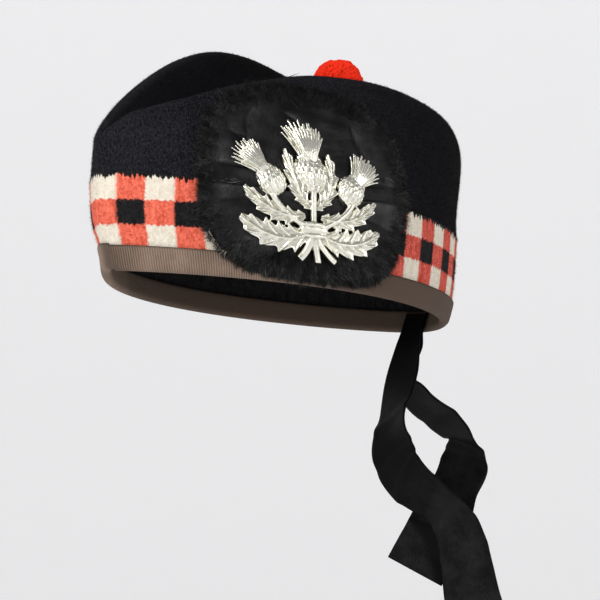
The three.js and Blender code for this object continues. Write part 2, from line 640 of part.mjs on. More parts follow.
// Toorie: a ball of wool whose locks stand out round evenly spread middles, seated on the crown.
function toorieForm() {
  const ball = new THREE.IcosahedronGeometry(1, TOORIE_DETAIL);
  ball.deleteAttribute("normal").deleteAttribute("uv");
  const golden = Math.PI * (3 - Math.sqrt(5));
  const locks = Array.from({ length: TOORIE_LOCKS }, (_, k) => {
    const z = 1 - (2 * (k + 0.5)) / TOORIE_LOCKS;
    const r = Math.sqrt(1 - z * z);
    return new THREE.Vector3(r * Math.cos(k * golden), r * Math.sin(k * golden), z);
  });
  const spots = ball.attributes.position;
  const spacing = Math.sqrt((4 * Math.PI) / TOORIE_LOCKS);
  for (let i = 0; i < spots.count; i += 1) {
    const spot = new THREE.Vector3().fromBufferAttribute(spots, i).normalize();
    const near = Math.min(...locks.map((lock) => spot.angleTo(lock)));
    const rise = TOORIE_LOCK_RISE * (1 - Math.min(1, near / (TOORIE_LOCK_SHARE * spacing)) ** 2);
    spot.multiplyScalar(TOORIE.radius + rise);
    spots.setXYZ(i, spot.x, spot.y, spot.z);
  }
  ball.translate(TOORIE.x, TOORIE.y, TOORIE.z);
  const seat = crownOuter.translate([0, 0, SEAM_GAP]);
  return surface(solid(facingOut(mergeVertices(ball, SAME_PLACE))).subtract(seat));
}

// A ribbon that starts flat inside the back of the binding and hangs below it in the table's folds.
function tailForm(rows, layer) {
  const pitch = -THREE.MathUtils.degToRad(WORN_PITCH_DEG);
  const plane = THREE.MathUtils.degToRad(TAIL_PLANE_DEG);
  const inFace = -BAND_INSET - CLOTH - SEAM_GAP - BINDING_CLOTH;
  const inset = inFace - SEAM_GAP - RIBBON_CLOTH / 2 - layer * (RIBBON_CLOTH + SEAM_GAP);
  const atBack = (height) =>
    wallPoint(height, Math.PI, 1, inset).applyAxisAngle(new THREE.Vector3(1, 0, 0), pitch);
  const rim = atBack(BINDING_FOOT);
  const sideways = new THREE.Vector3(Math.cos(plane), Math.sin(plane), 0);
  const outwards = new THREE.Vector3(Math.sin(plane), -Math.cos(plane), 0);
  const start = { width: TAIL_START_WIDTH, cup: TAIL_CUP, turn: TAIL_PLANE_DEG, lift: 0 };
  const folds = [
    { ...start, spot: atBack(BINDING_TOP - TAIL_TUCK) },
    { ...start, spot: rim },
    ...rows.map((row) => ({
      ...row,
      spot: rim
        .clone()
        .addScaledVector(sideways, row.side)
        .addScaledVector(outwards, row.out)
        .addScaledVector(UP, -row.drop),
    })),
  ];
  folds.forEach((fold, at) => Object.assign(fold, { at }));
  const path = new THREE.CatmullRomCurve3(folds.map((fold) => fold.spot));
  const rings = [];
  const steps = TAIL_STEPS * (folds.length - 1);
  for (let i = 0; i <= steps; i += 1) {
    const at = i / TAIL_STEPS;
    const size = (column) => reading(folds, "at", at, column);
    const along = path.getTangent(i / steps);
    const turn = THREE.MathUtils.degToRad(size("turn"));
    const lift = THREE.MathUtils.degToRad(size("lift"));
    const across = sideways.clone().multiplyScalar(Math.cos(lift) * Math.cos(turn));
    across.addScaledVector(outwards, Math.cos(lift) * Math.sin(turn));
    across.addScaledVector(UP, Math.sin(lift));
    across.addScaledVector(along, -across.dot(along)).normalize();
    const face = across.clone().cross(along).normalize();
    const spot = path.getPoint(i / steps);
    const corner = (w, d) =>
      spot
        .clone()
        .addScaledVector(across, (w * size("width")) / 2)
        .addScaledVector(face, d * (RIBBON_CLOTH / 2) - w * w * size("cup"));
    rings.push([corner(-1, 1), corner(0, 1), corner(1, 1), corner(1, -1), corner(0, -1), corner(-1, -1)]);
  }
  return facingOut(sweep(rings, false));
}

// Finishes
const FELT = { color: 0x15161c, roughness: 0.95, metalness: 0 };
const KNIT = { color: 0xd8452f, roughness: 0.95, metalness: 0 };
const GROSGRAIN = { color: 0x6d5f57, roughness: 0.8, metalness: 0 };
const SATIN = { color: 0x1b1b1e, roughness: 0.45, metalness: 0 };
const WHITE_METAL = { color: 0xcfccc2, roughness: 0.25, metalness: 1 };
const WOOL = { color: 0xd8231a, roughness: 1, metalness: 0 };

const part = new THREE.Group();
part.name = "glengarry";
const bonnet = new THREE.Group();
bonnet.rotation.x = -THREE.MathUtils.degToRad(WORN_PITCH_DEG);
part.add(bonnet);

function place(group, name, geometry, finish) {
  const mesh = new THREE.Mesh(geometry, new THREE.MeshStandardMaterial(finish));
  mesh.name = name;
  group.add(mesh);
}

place(bonnet, "crown", surface(crownShell), FELT);
place(bonnet, "diced_band", diced(), KNIT);
place(bonnet, "binding", bindingEdge(), GROSGRAIN);
place(bonnet, "rosette", surface(rosetteBlock().subtract(rosetteSeat())), SATIN);
place(bonnet, "badge", badgeForm(), WHITE_METAL);
place(bonnet, "toorie", toorieForm(), WOOL);
place(part, "tail_left", tailForm(TAIL_LEFT, 1), SATIN);
place(part, "tail_right", tailForm(TAIL_RIGHT, 0), SATIN);

export default part;
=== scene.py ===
"""Glengarry bonnet, dressed in felt, knitted dicing, ribbon, silk, cast white metal and wool.

Sizes are millimetres in the bonnet's own frame, front towards -Y and the wearer's left towards +X. Points are
pitched as the bonnet is worn and turned to metres when a mesh is made.
"""
import logging
import math
from collections.abc import Callable, Iterator, Sequence
from contextlib import contextmanager
from dataclasses import dataclass, field, replace
from enum import Enum

import bpy
import numpy as np
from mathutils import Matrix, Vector


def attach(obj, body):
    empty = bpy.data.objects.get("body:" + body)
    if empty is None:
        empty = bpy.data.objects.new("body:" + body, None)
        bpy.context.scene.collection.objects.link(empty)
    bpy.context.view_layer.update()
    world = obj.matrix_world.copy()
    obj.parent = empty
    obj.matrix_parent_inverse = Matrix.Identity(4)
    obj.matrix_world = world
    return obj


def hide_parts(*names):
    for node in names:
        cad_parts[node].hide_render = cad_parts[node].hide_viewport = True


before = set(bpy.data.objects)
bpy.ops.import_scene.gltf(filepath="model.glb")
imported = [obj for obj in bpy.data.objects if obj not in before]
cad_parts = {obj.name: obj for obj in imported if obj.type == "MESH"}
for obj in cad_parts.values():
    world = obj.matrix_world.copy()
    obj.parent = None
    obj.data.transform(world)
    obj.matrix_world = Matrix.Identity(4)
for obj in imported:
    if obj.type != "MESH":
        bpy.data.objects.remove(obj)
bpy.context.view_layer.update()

LOG = logging.getLogger("glengarry")
MM = 0.001
TINY = 1e-9
ANGLE_STEP = 1e-3
JOIN = 1e-6
UP = np.array([0.0, 0.0, 1.0])
WAVES = 7
WAVE_RANGE = (0.6, 1.5)
WAVE_PEAK = 3.2
TAPER = 0.75
Array = np.ndarray
Number = float | Array
Arrays = tuple[Array, Array]
Pair = tuple[float, float]
Triple = tuple[float, float, float]
Colour = Triple
Draws = np.random.Generator
Piece = bpy.types.Object
Mesh = bpy.types.Mesh
Material = bpy.types.Material
Socket = bpy.types.NodeSocket


def unit(vectors: Array) -> Array:
    """Vectors along the last axis, made one long."""
    return vectors / np.maximum(np.linalg.norm(vectors, axis=-1, keepdims=True), TINY)


def smooth(low: float, high: float, value: Array) -> Array:
    """A soft step from 0 at low to 1 at high."""
    share = np.clip((value - low) / (high - low), 0, 1)
    return share * share * (3 - 2 * share)


@dataclass(frozen=True)
class Swell:
    """A smooth seeded drift over space: its size, the rough length of one swell and its seed."""

    size: float
    reach: float
    seed: int

    def over(self, points: Array) -> Array:
        """Values from about -size to size.

        Args:
            points: Places, any shape with three last.

        Returns:
            One value for each place.
        """
        draw = np.random.default_rng(self.seed)
        turn = unit(draw.normal(size=(WAVES, 3))) * (2 * np.pi / self.reach)
        turn = turn * draw.uniform(*WAVE_RANGE, (WAVES, 1))
        start = draw.uniform(0, 2 * np.pi, WAVES)
        return self.size * (np.sin(points @ turn.T + start).sum(-1) / WAVE_PEAK)


def swell(points: Array, rows: Sequence[Swell]) -> Array:
    """Several drifts together."""
    return sum(row.over(points) for row in rows)


def raised(along: Array, face: Array, least: float) -> Array:
    """Directions turned up where they stand off a face by less than a least share."""
    return unit(along + face * np.maximum(0, least - (along * face).sum(-1, keepdims=True)))


@dataclass(frozen=True)
class WallRow:
    """One level of the side wall: its creases and how pointed its plan is."""

    height: float
    front: float
    back: float
    half_width: float
    front_point: float
    back_point: float


@dataclass(frozen=True)
class RidgeRow:
    """One station of the crown: the heights of its ridges and fold, and how round the ridges are."""

    y: float
    left: float
    right: float
    valley: float
    left_round: float
    right_round: float


@dataclass(frozen=True)
class TailRow:
    """One fold of a tail: where its middle hangs from the rim and how the ribbon is turned there."""

    side: float
    out: float
    drop: float
    turn: float
    lift: float
    width: float = 32.0
    cup: float = 0.5


@dataclass(frozen=True)
class CreaseRow:
    """One crease across a tail: how far along each edge it starts and ends, its depth and its spread."""

    from_length: float
    to_length: float
    depth: float
    spread: float


@dataclass(frozen=True)
class FoldRow:
    """One fold of the silk: a line on the rosette and how far the cloth steps up across it."""

    from_across: float
    from_up: float
    to_across: float
    to_up: float
    bow: float
    step: float
    spread: float


@dataclass(frozen=True)
class ThistleRow:
    """One flower of the badge."""

    across: float
    up: float
    turn: float
    size: float


@dataclass(frozen=True)
class FloretRow:
    """One layer of a flower's fan: how many florets, their spread in degrees, length and height."""

    count: int
    spread: float
    length: float
    out: float


@dataclass(frozen=True)
class LampRow:
    """One soft square light: its turn and rise from the camera in degrees, distance, size and power."""

    name: str
    turn: float
    rise: float
    distance: float
    size: float
    power: float


@dataclass(frozen=True)
class LeafRow:
    """One leaf of the badge, with its twin on the other side."""

    from_x: float
    from_y: float
    via_x: float
    via_y: float
    to_x: float
    to_y: float
    half: float


class Table:
    """Rows of sizes, read along one column by a smooth curve through the rows."""

    def __init__(self, rows: Sequence[object], key: str | None = None) -> None:
        """Keeps the rows, and the places that they stand at.

        Args:
            rows: Dataclass rows in rising order.
            key: Field that holds each row's place, or None to number the rows.
        """
        self.rows = rows
        self.places = np.arange(len(rows), dtype=float) if key is None else self.column(key)

    def column(self, name: str) -> Array:
        """All the values of one column."""
        return np.array([getattr(row, name) for row in self.rows], dtype=float)

    def read(self, place: Number, name: str) -> Array:
        """One column's value at a place.

        Args:
            place: Where to read, held inside the table.
            name: Column.

        Returns:
            Values in the shape of place.
        """
        x, y = self.places, self.column(name)
        last = len(x) - 1
        at = np.clip(place, x[0], x[-1])
        i = np.clip(np.searchsorted(x, at, side="left") - 1, 0, last - 1)
        before, after = np.maximum(np.arange(last + 1) - 1, 0), np.minimum(np.arange(last + 1) + 1, last)
        slope = (y[after] - y[before]) / (x[after] - x[before])
        span = x[i + 1] - x[i]
        u = (at - x[i]) / span
        p, q, m, n = y[i], y[i + 1], slope[i] * span, slope[i + 1] * span
        return p + u * (m + u * (3 * (q - p) - 2 * m - n + u * (2 * (p - q) + m + n)))


WALL = Table((
    WallRow(0, -98.3, 114.2, 73.2, 0.67, 0.36),
    WallRow(6, -100.0, 116.2, 73.8, 0.69, 0.37),
    WallRow(12, -102.2, 117.7, 74.4, 0.7, 0.37),
    WallRow(26, -109.6, 118.8, 75.7, 0.7, 0.37),
    WallRow(44, -112.9, 119.0, 76.0, 0.7, 0.37),
), "height")
RIDGES = Table((
    RidgeRow(-112.9, 64, 64, 61.5, 2.5, 2.5),
    RidgeRow(-106.5, 72.5, 66.5, 64, 3, 4.5),
    RidgeRow(-98, 77.2, 72, 67, 3.5, 6.5),
    RidgeRow(-85, 83.4, 82, 71.5, 4, 9.5),
    RidgeRow(-71, 90, 93.2, 76, 4.5, 12),
    RidgeRow(-50, 97.2, 108.9, 82, 5, 13.5),
    RidgeRow(-30, 103, 121.8, 88, 6, 13.5),
    RidgeRow(-8, 106.5, 130.6, 94.5, 8, 12),
    RidgeRow(14, 108.8, 131.8, 99.5, 11, 12),
    RidgeRow(38, 110, 125.6, 102.5, 21, 16),
    RidgeRow(62, 110, 118, 103.5, 29.5, 24),
    RidgeRow(82, 109, 112, 103, 35.5, 33),
    RidgeRow(92, 108, 108, 102, 38, 38),
), "y")


@dataclass(frozen=True)
class Station:
    """The foot, ridge and fold's spine of each of several columns of the crown."""

    foot: Array
    ridge: Array
    inward: Array
    valley: Array
    round: Array


def bezier(controls: Sequence[Array], shares: Array) -> Array:
    """Points of several cubic curves.

    Args:
        controls: Starts, two rows of handles and ends, each n x 3.
        shares: Places along the curves, m of them.

    Returns:
        An array of n x m x 3 points.
    """
    t = shares[None, :, None]
    a, b, c, d = (p[:, None, :] for p in controls)
    return (1 - t) ** 3 * a + 3 * (1 - t) ** 2 * t * b + 3 * (1 - t) * t * t * c + t ** 3 * d


@dataclass(frozen=True)
class BonnetForm:
    """Sizes that the cloth pieces share, and the surfaces that follow from them."""

    pitch_deg: float = 6.2
    seam_gap: float = 0.3
    cloth: float = 2.4
    band_inset: float = 0.6
    band_foot: float = 3.0
    band_top: float = 43.2
    binding_top: float = 11.9
    binding_foot: float = 0.5
    binding_cloth: float = 1.0
    left_ridge_half: float = 50.0
    right_ridge_half: float = 46.0
    valley_front: float = 1.0
    valley_back: float = 76.0
    valley_shift: float = -3.0
    wall_reach: float = 0.36
    wall_lean: float = 0.4
    valley_reach: float = 0.4
    top_round_share: float = 0.45
    inner_front: float = 9.0
    inner_back: float = 2.6
    inner_close: float = 0.55
    inner_close_back: float = 0.2
    inner_round: float = 1.5
    valley_cloth: float = 2.8
    round_steps: int = 800

    def worn(self, points: Array) -> Array:
        """Points of the bonnet pitched as it is worn, in metres."""
        c, s = math.cos(math.radians(self.pitch_deg)), math.sin(math.radians(self.pitch_deg))
        return points @ np.array([[1, 0, 0], [0, c, -s], [0, s, c]]) * MM

    @staticmethod
    def width_share(angle: Number, front_point: Number, back_point: Number) -> Array:
        """Width share of a plan at an angle from the front crease (0) to the back crease (pi)."""
        point = front_point + (back_point - front_point) * (1 - np.cos(angle)) / 2
        return (1 - point) * np.sin(angle) + point * np.sin(angle) * np.abs(np.sin(angle))

    def plan(self, height: Number, angle: Number) -> Arrays:
        """The wall's plan on the wearer's left.

        Args:
            height: Height above the rim.
            angle: Angle from the front crease.

        Returns:
            Its x and y.
        """
        front, back = WALL.read(height, "front"), WALL.read(height, "back")
        share = self.width_share(angle, WALL.read(height, "front_point"), WALL.read(height, "back_point"))
        x = WALL.read(height, "half_width") * share
        return x, (front + back) / 2 - (back - front) / 2 * np.cos(angle)

    def wall_point(self, height: Number, angle: Number, side: Number, offset: Number) -> Array:
        """Points of the side wall.

        Args:
            height: Height above the rim.
            angle: Angle from the front crease.
            side: 1 on the wearer's left, -1 on the right.
            offset: How far out of the wall.

        Returns:
            Points with three last.
        """
        height, angle, side, offset = np.broadcast_arrays(height, angle, side, offset)
        ahead, behind = self.plan(height, angle + ANGLE_STEP), self.plan(height, angle - ANGLE_STEP)
        along = unit(np.stack([ahead[0] - behind[0], ahead[1] - behind[1]], -1))
        x, y = self.plan(height, angle)
        return np.stack([side * (x + along[..., 1] * offset), y - along[..., 0] * offset, height], -1)

    def ridge_plan(self, angle: Array, side: Array) -> Array:
        """The ridge's plan at height 0.

        Args:
            angle: Angle of each column.
            side: Side of each, 1 left or -1 right.

        Returns:
            Points, n x 3.
        """
        front, back = RIDGES.places[0], RIDGES.places[-1]
        last = WALL.rows[-1]
        half = np.where(side > 0, self.left_ridge_half, self.right_ridge_half)
        x = side * half * self.width_share(angle, last.front_point, last.back_point)
        y = (front + back) / 2 - (back - front) / 2 * np.cos(angle)
        return np.stack([x, y, np.zeros_like(angle)], -1)

    def outer_station(self, angle: Array, side: Array) -> Station:
        """The columns of the crown's outer face.

        Args:
            angle: Angle of each column.
            side: Side of each, 1 left or -1 right.

        Returns:
            Their stations.
        """
        front = RIDGES.places[0]
        ridge = self.ridge_plan(angle, side)
        along = unit(self.ridge_plan(angle + ANGLE_STEP, side) - self.ridge_plan(angle - ANGLE_STEP, side))
        inward = np.stack([-along[:, 1] * side, along[:, 0] * side, np.zeros_like(angle)], -1)
        y, left = ridge[:, 1], side > 0
        ridge[:, 2] = np.where(left, RIDGES.read(y, "left"), RIDGES.read(y, "right"))
        start = front + self.valley_front
        valley_y = start + (self.valley_back - start) * (1 - np.cos(angle)) / 2
        valley_x = self.valley_shift * np.sin(angle) ** 2
        valley = np.stack([valley_x, valley_y, RIDGES.read(valley_y, "valley")], -1)
        foot = self.wall_point(self.band_top + self.seam_gap, angle, side, -self.band_inset)
        rounding = np.where(left, RIDGES.read(y, "left_round"), RIDGES.read(y, "right_round"))
        return Station(foot, ridge, inward, valley, rounding)

    def inner_station(self, angle: Array, side: Array) -> Station:
        """The same columns a cloth's thickness inside, closed to the middle behind the front crease.

        Args:
            angle: Angle of each column.
            side: Side of each, 1 left or -1 right.

        Returns:
            Their stations.
        """
        front, back = RIDGES.places[0], RIDGES.places[-1]
        first, last = front + self.inner_front, back - self.inner_back
        y = (first + last) / 2 - (last - first) / 2 * np.cos(angle)
        outer = self.outer_station(np.arccos(np.clip(1 - 2 * (y - front) / (back - front), -1, 1)), side)
        chord = unit(outer.ridge - outer.foot)
        wall_face = unit(-outer.inward + (outer.inward * chord).sum(-1, keepdims=True) * chord)
        chord = unit(outer.valley - outer.ridge)
        top_face = unit(UP - chord[:, 2:] * chord)
        mitre = self.cloth / (1 + (wall_face * top_face).sum(-1, keepdims=True))
        ridge = outer.ridge - (wall_face + top_face) * mitre
        closing = np.minimum(1, np.minimum(angle / self.inner_close, (np.pi - angle) / self.inner_close_back))
        close = np.sin(np.pi / 2 * closing)
        valley = outer.valley - UP * self.valley_cloth
        valley[:, 1] = np.maximum(valley[:, 1], first)
        ridge[:, 0] *= close
        ridge[:, 2] = valley[:, 2] + (ridge[:, 2] - valley[:, 2]) * close ** 2
        foot = self.wall_point(self.band_top + self.seam_gap, angle, side, -self.band_inset - self.cloth)
        rounding = np.maximum(outer.round - self.cloth, self.inner_round)
        return Station(foot, ridge, outer.inward, valley, rounding)

    def wall_curve(self, station: Station, shares: Array) -> Array:
        """The wall of each column, from its lower edge to the ridge.

        Args:
            station: The columns.
            shares: Places along each curve.

        Returns:
            Points, columns x shares x 3.
        """
        rise = station.ridge - station.foot
        lean = unit(UP + (unit(rise) - UP) * self.wall_lean)
        leave = station.foot + lean * self.wall_reach * np.linalg.norm(rise, axis=-1, keepdims=True)
        arrive = station.ridge - station.inward * station.round[:, None]
        return bezier((station.foot, leave, arrive, station.ridge), shares)

    def top_curve(self, station: Station, shares: Array) -> Array:
        """The folded-in top of each column, from the ridge to the spine of the fold.

        Args:
            station: The columns.
            shares: Places along each curve.

        Returns:
            Points, columns x shares x 3.
        """
        across = (station.ridge - station.valley) * np.array([1.0, 1.0, 0.0])
        over = np.minimum(station.round, self.top_round_share * np.linalg.norm(across, axis=-1))
        leave = station.ridge + station.inward * over[:, None]
        arrive = station.valley + across * self.valley_reach
        return bezier((station.ridge, leave, arrive, station.valley), shares)

    def round_lengths(self) -> Arrays:
        """Measures the top of the band from the front crease to the back.

        Returns:
            Angles from the front crease, and the length to each.
        """
        angles = np.linspace(0, np.pi, self.round_steps + 1)
        x, y = self.plan(self.band_top, angles)
        return angles, np.concatenate([[0], np.cumsum(np.hypot(np.diff(x), np.diff(y)))])


FORM = BonnetForm()
ANGLES, LENGTHS = FORM.round_lengths()
HALF_ROUND = float(LENGTHS[-1])


def round_place(length: Array) -> Arrays:
    """Where a length round the bonnet lies.

    Args:
        length: Length from the front crease by the wearer's left.

    Returns:
        The angle from the front crease and the side, 1 left or -1 right.
    """
    length = np.mod(length, 2 * HALF_ROUND)
    left = length <= HALF_ROUND
    angle = np.interp(np.where(left, length, 2 * HALF_ROUND - length), LENGTHS, ANGLES)
    return angle, np.where(left, 1.0, -1.0)


def from_front(length: Array) -> Array:
    """How far a length round the bonnet ends from the front crease, by the nearer side."""
    return np.minimum(length, 2 * HALF_ROUND - length)


@dataclass
class SideMap:
    """The left side wall as a sheet, measured from the middle of the rosette."""

    middle_angle: float
    reach: float = 76.0
    foot: float = -12.0
    top: float = 124.0
    curve_steps: int = 160
    inside: float = 1.001

    def __post_init__(self) -> None:
        """Lays the wall out on a grid of one-millimetre steps."""
        middle = float(np.interp(self.middle_angle, ANGLES, LENGTHS))
        self.across = np.arange(-self.reach, self.reach + 1.0)
        self.up = np.arange(self.foot, self.top + 1.0)
        angle, _ = round_place(middle + self.across)
        side = np.ones_like(angle)
        low = self.up[self.up <= FORM.band_top]
        wall = FORM.wall_point(low[None, :], angle[:, None], side[:, None], -FORM.band_inset)
        curve = FORM.wall_curve(FORM.outer_station(angle, side), np.linspace(0, 1, self.curve_steps + 1))
        steps = np.linalg.norm(np.diff(curve, axis=1), axis=-1)
        gone = np.concatenate([np.zeros((len(angle), 1)), np.cumsum(steps, axis=1)], axis=1)
        high = self.up[self.up > FORM.band_top] - FORM.band_top
        rise = [[np.interp(high, g, c[:, k]) for k in range(3)] for g, c in zip(gone, curve)]
        self.spots = np.concatenate([wall, np.array(rise).transpose(0, 2, 1)], axis=1)

    def spot(self, across: Array, up: Array) -> Array:
        """Points of the sheet itself.

        Args:
            across: Lengths along the wall.
            up: Lengths up it.

        Returns:
            Points with three last.
        """
        a = np.clip(across + self.reach, 0, len(self.across) - self.inside)
        b = np.clip(up - self.foot, 0, len(self.up) - self.inside)
        i, j = a.astype(int), b.astype(int)
        u, v = (a - i)[..., None], (b - j)[..., None]
        s = self.spots
        return (s[i, j] * (1 - u) * (1 - v) + s[i + 1, j] * u * (1 - v)
                + s[i, j + 1] * (1 - u) * v + s[i + 1, j + 1] * u * v)

    def axes(self, across: Array, up: Array, step: float = 2.0) -> tuple[Array, Array, Array]:
        """The wall's directions at a place.

        Args:
            across: Lengths along the wall.
            up: Lengths up it.
            step: How far to each side they are measured.

        Returns:
            Directions along, up and out.
        """
        along = unit(self.spot(across + step, up) - self.spot(across - step, up))
        rise = unit(self.spot(across, up + step) - self.spot(across, up - step))
        return along, rise, unit(np.cross(along, rise))

    def point(self, across: Array, up: Array, out: Number) -> Array:
        """Points that stand out from the sheet."""
        across, up, out = np.broadcast_arrays(across, up, out)
        return self.spot(across, up) + self.axes(across, up)[2] * out[..., None]


class Draft:
    """Points, faces and patterns that become one mesh."""

    def __init__(self) -> None:
        """Starts with nothing."""
        self.points: list[Array] = []
        self.faces: list[Array] = []
        self.places: list[Array] = []
        self.tints: list[Array] = []
        self.count = 0

    def grid(self, points: Array, closed: bool = True, places: Array | None = None, flip: bool = False,
             tint: Number | Colour = 1.0) -> None:
        """Adds a sheet of quads.

        Args:
            points: Rows x columns x 3, in metres.
            closed: Whether the last column joins the first.
            places: Rows x columns (one more if closed) x 2, the pattern's place at each corner.
            flip: Whether the faces turn over.
            tint: Colours or greys that spread over rows x columns x 3.
        """
        rows, columns = points.shape[:2]
        wide = columns + int(closed)
        number = self.count + np.arange(rows)[:, None] * columns + np.arange(wide)[None] % columns
        pattern = np.zeros((rows, wide, 2)) if places is None else places
        order = (0, 3, 2, 1) if flip else (0, 1, 2, 3)

        def corners(sheet: Array) -> Array:
            """The four corners of each quad."""
            four = (sheet[:-1, :-1], sheet[:-1, 1:], sheet[1:, 1:], sheet[1:, :-1])
            return np.stack([four[k] for k in order], axis=2)

        self.faces.append(corners(number).reshape(-1, 4))
        self.places.append(corners(pattern).reshape(-1, 4, 2))
        self.points.append(points.reshape(-1, 3))
        self.tints.append(np.broadcast_to(tint, (rows, columns, 3)).reshape(-1, 3))
        self.count += rows * columns

    def strips(self, points: Array, tint: Number) -> None:
        """Adds many like ribbons.

        Args:
            points: Ribbons x steps x 2 edges x 3, in metres.
            tint: Colours or greys that spread over ribbons x steps x 3.
        """
        ribbons, steps = points.shape[:2]
        base = self.count + (np.arange(ribbons)[:, None] * steps + np.arange(steps - 1)[None]) * 2
        self.faces.append(np.stack([base, base + 1, base + 3, base + 2], -1).reshape(-1, 4))
        self.places.append(np.zeros((ribbons * (steps - 1), 4, 2)))
        self.points.append(points.reshape(-1, 3))
        self.tints.append(np.repeat(np.broadcast_to(tint, (ribbons, steps, 3)), 2, axis=1).reshape(-1, 3))
        self.count += ribbons * steps * 2

    def scatter(self, count: int, draw: Draws) -> Arrays:
        """Even random places on the faces.

        Args:
            count: How many.
            draw: Source of the draws.

        Returns:
            Places and face normals.
        """
        corner = np.concatenate(self.points)[np.concatenate(self.faces)]
        a, b, c, d = (corner[:, k] for k in range(4))
        normal = np.cross(c - a, d - b)
        area = np.linalg.norm(normal, axis=-1)
        face = draw.choice(len(area), count, p=area / area.sum())
        u, v = draw.random((2, count, 1))
        spot = (a[face] * (1 - u) + b[face] * u) * (1 - v) + (d[face] * (1 - u) + c[face] * u) * v
        return spot, unit(normal[face])

    def mesh_object(self, name: str, joined: bool = True, faces_out: bool = False) -> Piece:
        """Makes the object.

        Args:
            name: Name of the piece.
            joined: Whether points that meet at seams and poles are joined.
            faces_out: Whether normals are worked out again after that.

        Returns:
            The new object, with a map named pattern and a colour attribute named tint.
        """
        points, faces = np.concatenate(self.points), np.concatenate(self.faces)
        mesh = bpy.data.meshes.new(name)
        mesh.vertices.add(len(points))
        mesh.vertices.foreach_set("co", points.astype(np.float32).ravel())
        mesh.loops.add(faces.size)
        mesh.loops.foreach_set("vertex_index", faces.astype(np.int32).ravel())
        mesh.polygons.add(len(faces))
        mesh.polygons.foreach_set("loop_start", np.arange(0, faces.size, 4, dtype=np.int32))
        mesh.update(calc_edges=True)
        layer = mesh.uv_layers.new(name="pattern")
        layer.data.foreach_set("uv", np.concatenate(self.places).astype(np.float32).ravel())
        tinted(mesh, np.concatenate(self.tints))
        piece = bpy.data.objects.new(name, mesh)
        bpy.context.collection.objects.link(piece)
        if joined:
            with editing(piece):
                bpy.ops.mesh.remove_doubles(threshold=JOIN)
                if faces_out:
                    bpy.ops.mesh.normals_make_consistent(inside=False)
        return piece


@contextmanager
def editing(piece: Piece) -> Iterator[None]:
    """Edit mode on one object with all of it selected, then object mode again.

    Args:
        piece: The object.

    Returns:
        A block that runs in edit mode.
    """
    bpy.ops.object.select_all(action="DESELECT")
    piece.select_set(True)
    bpy.context.view_layer.objects.active = piece
    bpy.ops.object.mode_set(mode="EDIT")
    bpy.ops.mesh.select_all(action="SELECT")
    yield
    bpy.ops.object.mode_set(mode="OBJECT")


def tinted(mesh: Mesh, colours: Array) -> None:
    """Gives a mesh smooth faces and a colour attribute named tint.

    Args:
        mesh: The mesh.
        colours: One for each point, n x 3.
    """
    layer = mesh.attributes.new("tint", "FLOAT_COLOR", "POINT")
    shade = np.column_stack([colours, np.ones(len(colours))])
    layer.data.foreach_set("color", shade.astype(np.float32).ravel())
    mesh.polygons.foreach_set("use_smooth", np.ones(len(mesh.polygons), dtype=bool))


def ribbons(roots: Array, along: Array, bend: Array, length: Array, width: Number, steps: int,
            draw: Draws) -> Array:
    """Short tapered fibres as flat strips.

    Args:
        roots: Where each starts, n x 3.
        along: Its first direction.
        bend: How far it is carried off its line by its end, as a vector.
        length: Its length.
        width: Its width at the root.
        steps: Points along it.
        draw: Source of the draws for which way its face turns.

    Returns:
        Points, n x steps x 2 x 3.
    """
    t = np.linspace(0, 1, steps)[None, :, None]
    line = roots[:, None] + along[:, None] * length[:, None, None] * t + bend[:, None] * t * t
    face = unit(np.cross(along, draw.normal(size=along.shape)))
    half = face[:, None] * np.broadcast_to(width, length.shape)[:, None, None] * (1 - TAPER * t) / 2
    return np.stack([line - half, line + half], axis=2)


class Value:
    """A value in a material, whose arithmetic adds the Math nodes for it."""

    def __init__(self, shader: "Shader", socket: Socket) -> None:
        """Wraps one output socket."""
        self.shader, self.socket = shader, socket

    def __add__(self, other: "Value | float") -> "Value":
        """Sum."""
        return self.shader.math("ADD", self, other)

    __radd__ = __add__

    def __sub__(self, other: "Value | float") -> "Value":
        """Difference."""
        return self.shader.math("SUBTRACT", self, other)

    def __rsub__(self, other: float) -> "Value":
        """Difference from a number."""
        return self.shader.math("SUBTRACT", other, self)

    def __mul__(self, other: "Value | float") -> "Value":
        """Product."""
        return self.shader.math("MULTIPLY", self, other)

    __rmul__ = __mul__

    def fract(self) -> "Value":
        """What is left after the whole number."""
        return self.shader.math("FRACT", self)

    def size(self) -> "Value":
        """Without its sign."""
        return self.shader.math("ABSOLUTE", self)

    def above(self, edge: float, soft: float = 0.0) -> "Value":
        """1 above an edge and 0 below it, with a soft change if asked."""
        if not soft:
            return self.shader.math("GREATER_THAN", self, edge)
        return self.shader.node("ShaderNodeMapRange", {"interpolation_type": "SMOOTHSTEP"},
                                {"Value": self, "From Min": edge - soft, "From Max": edge + soft}, "Result")


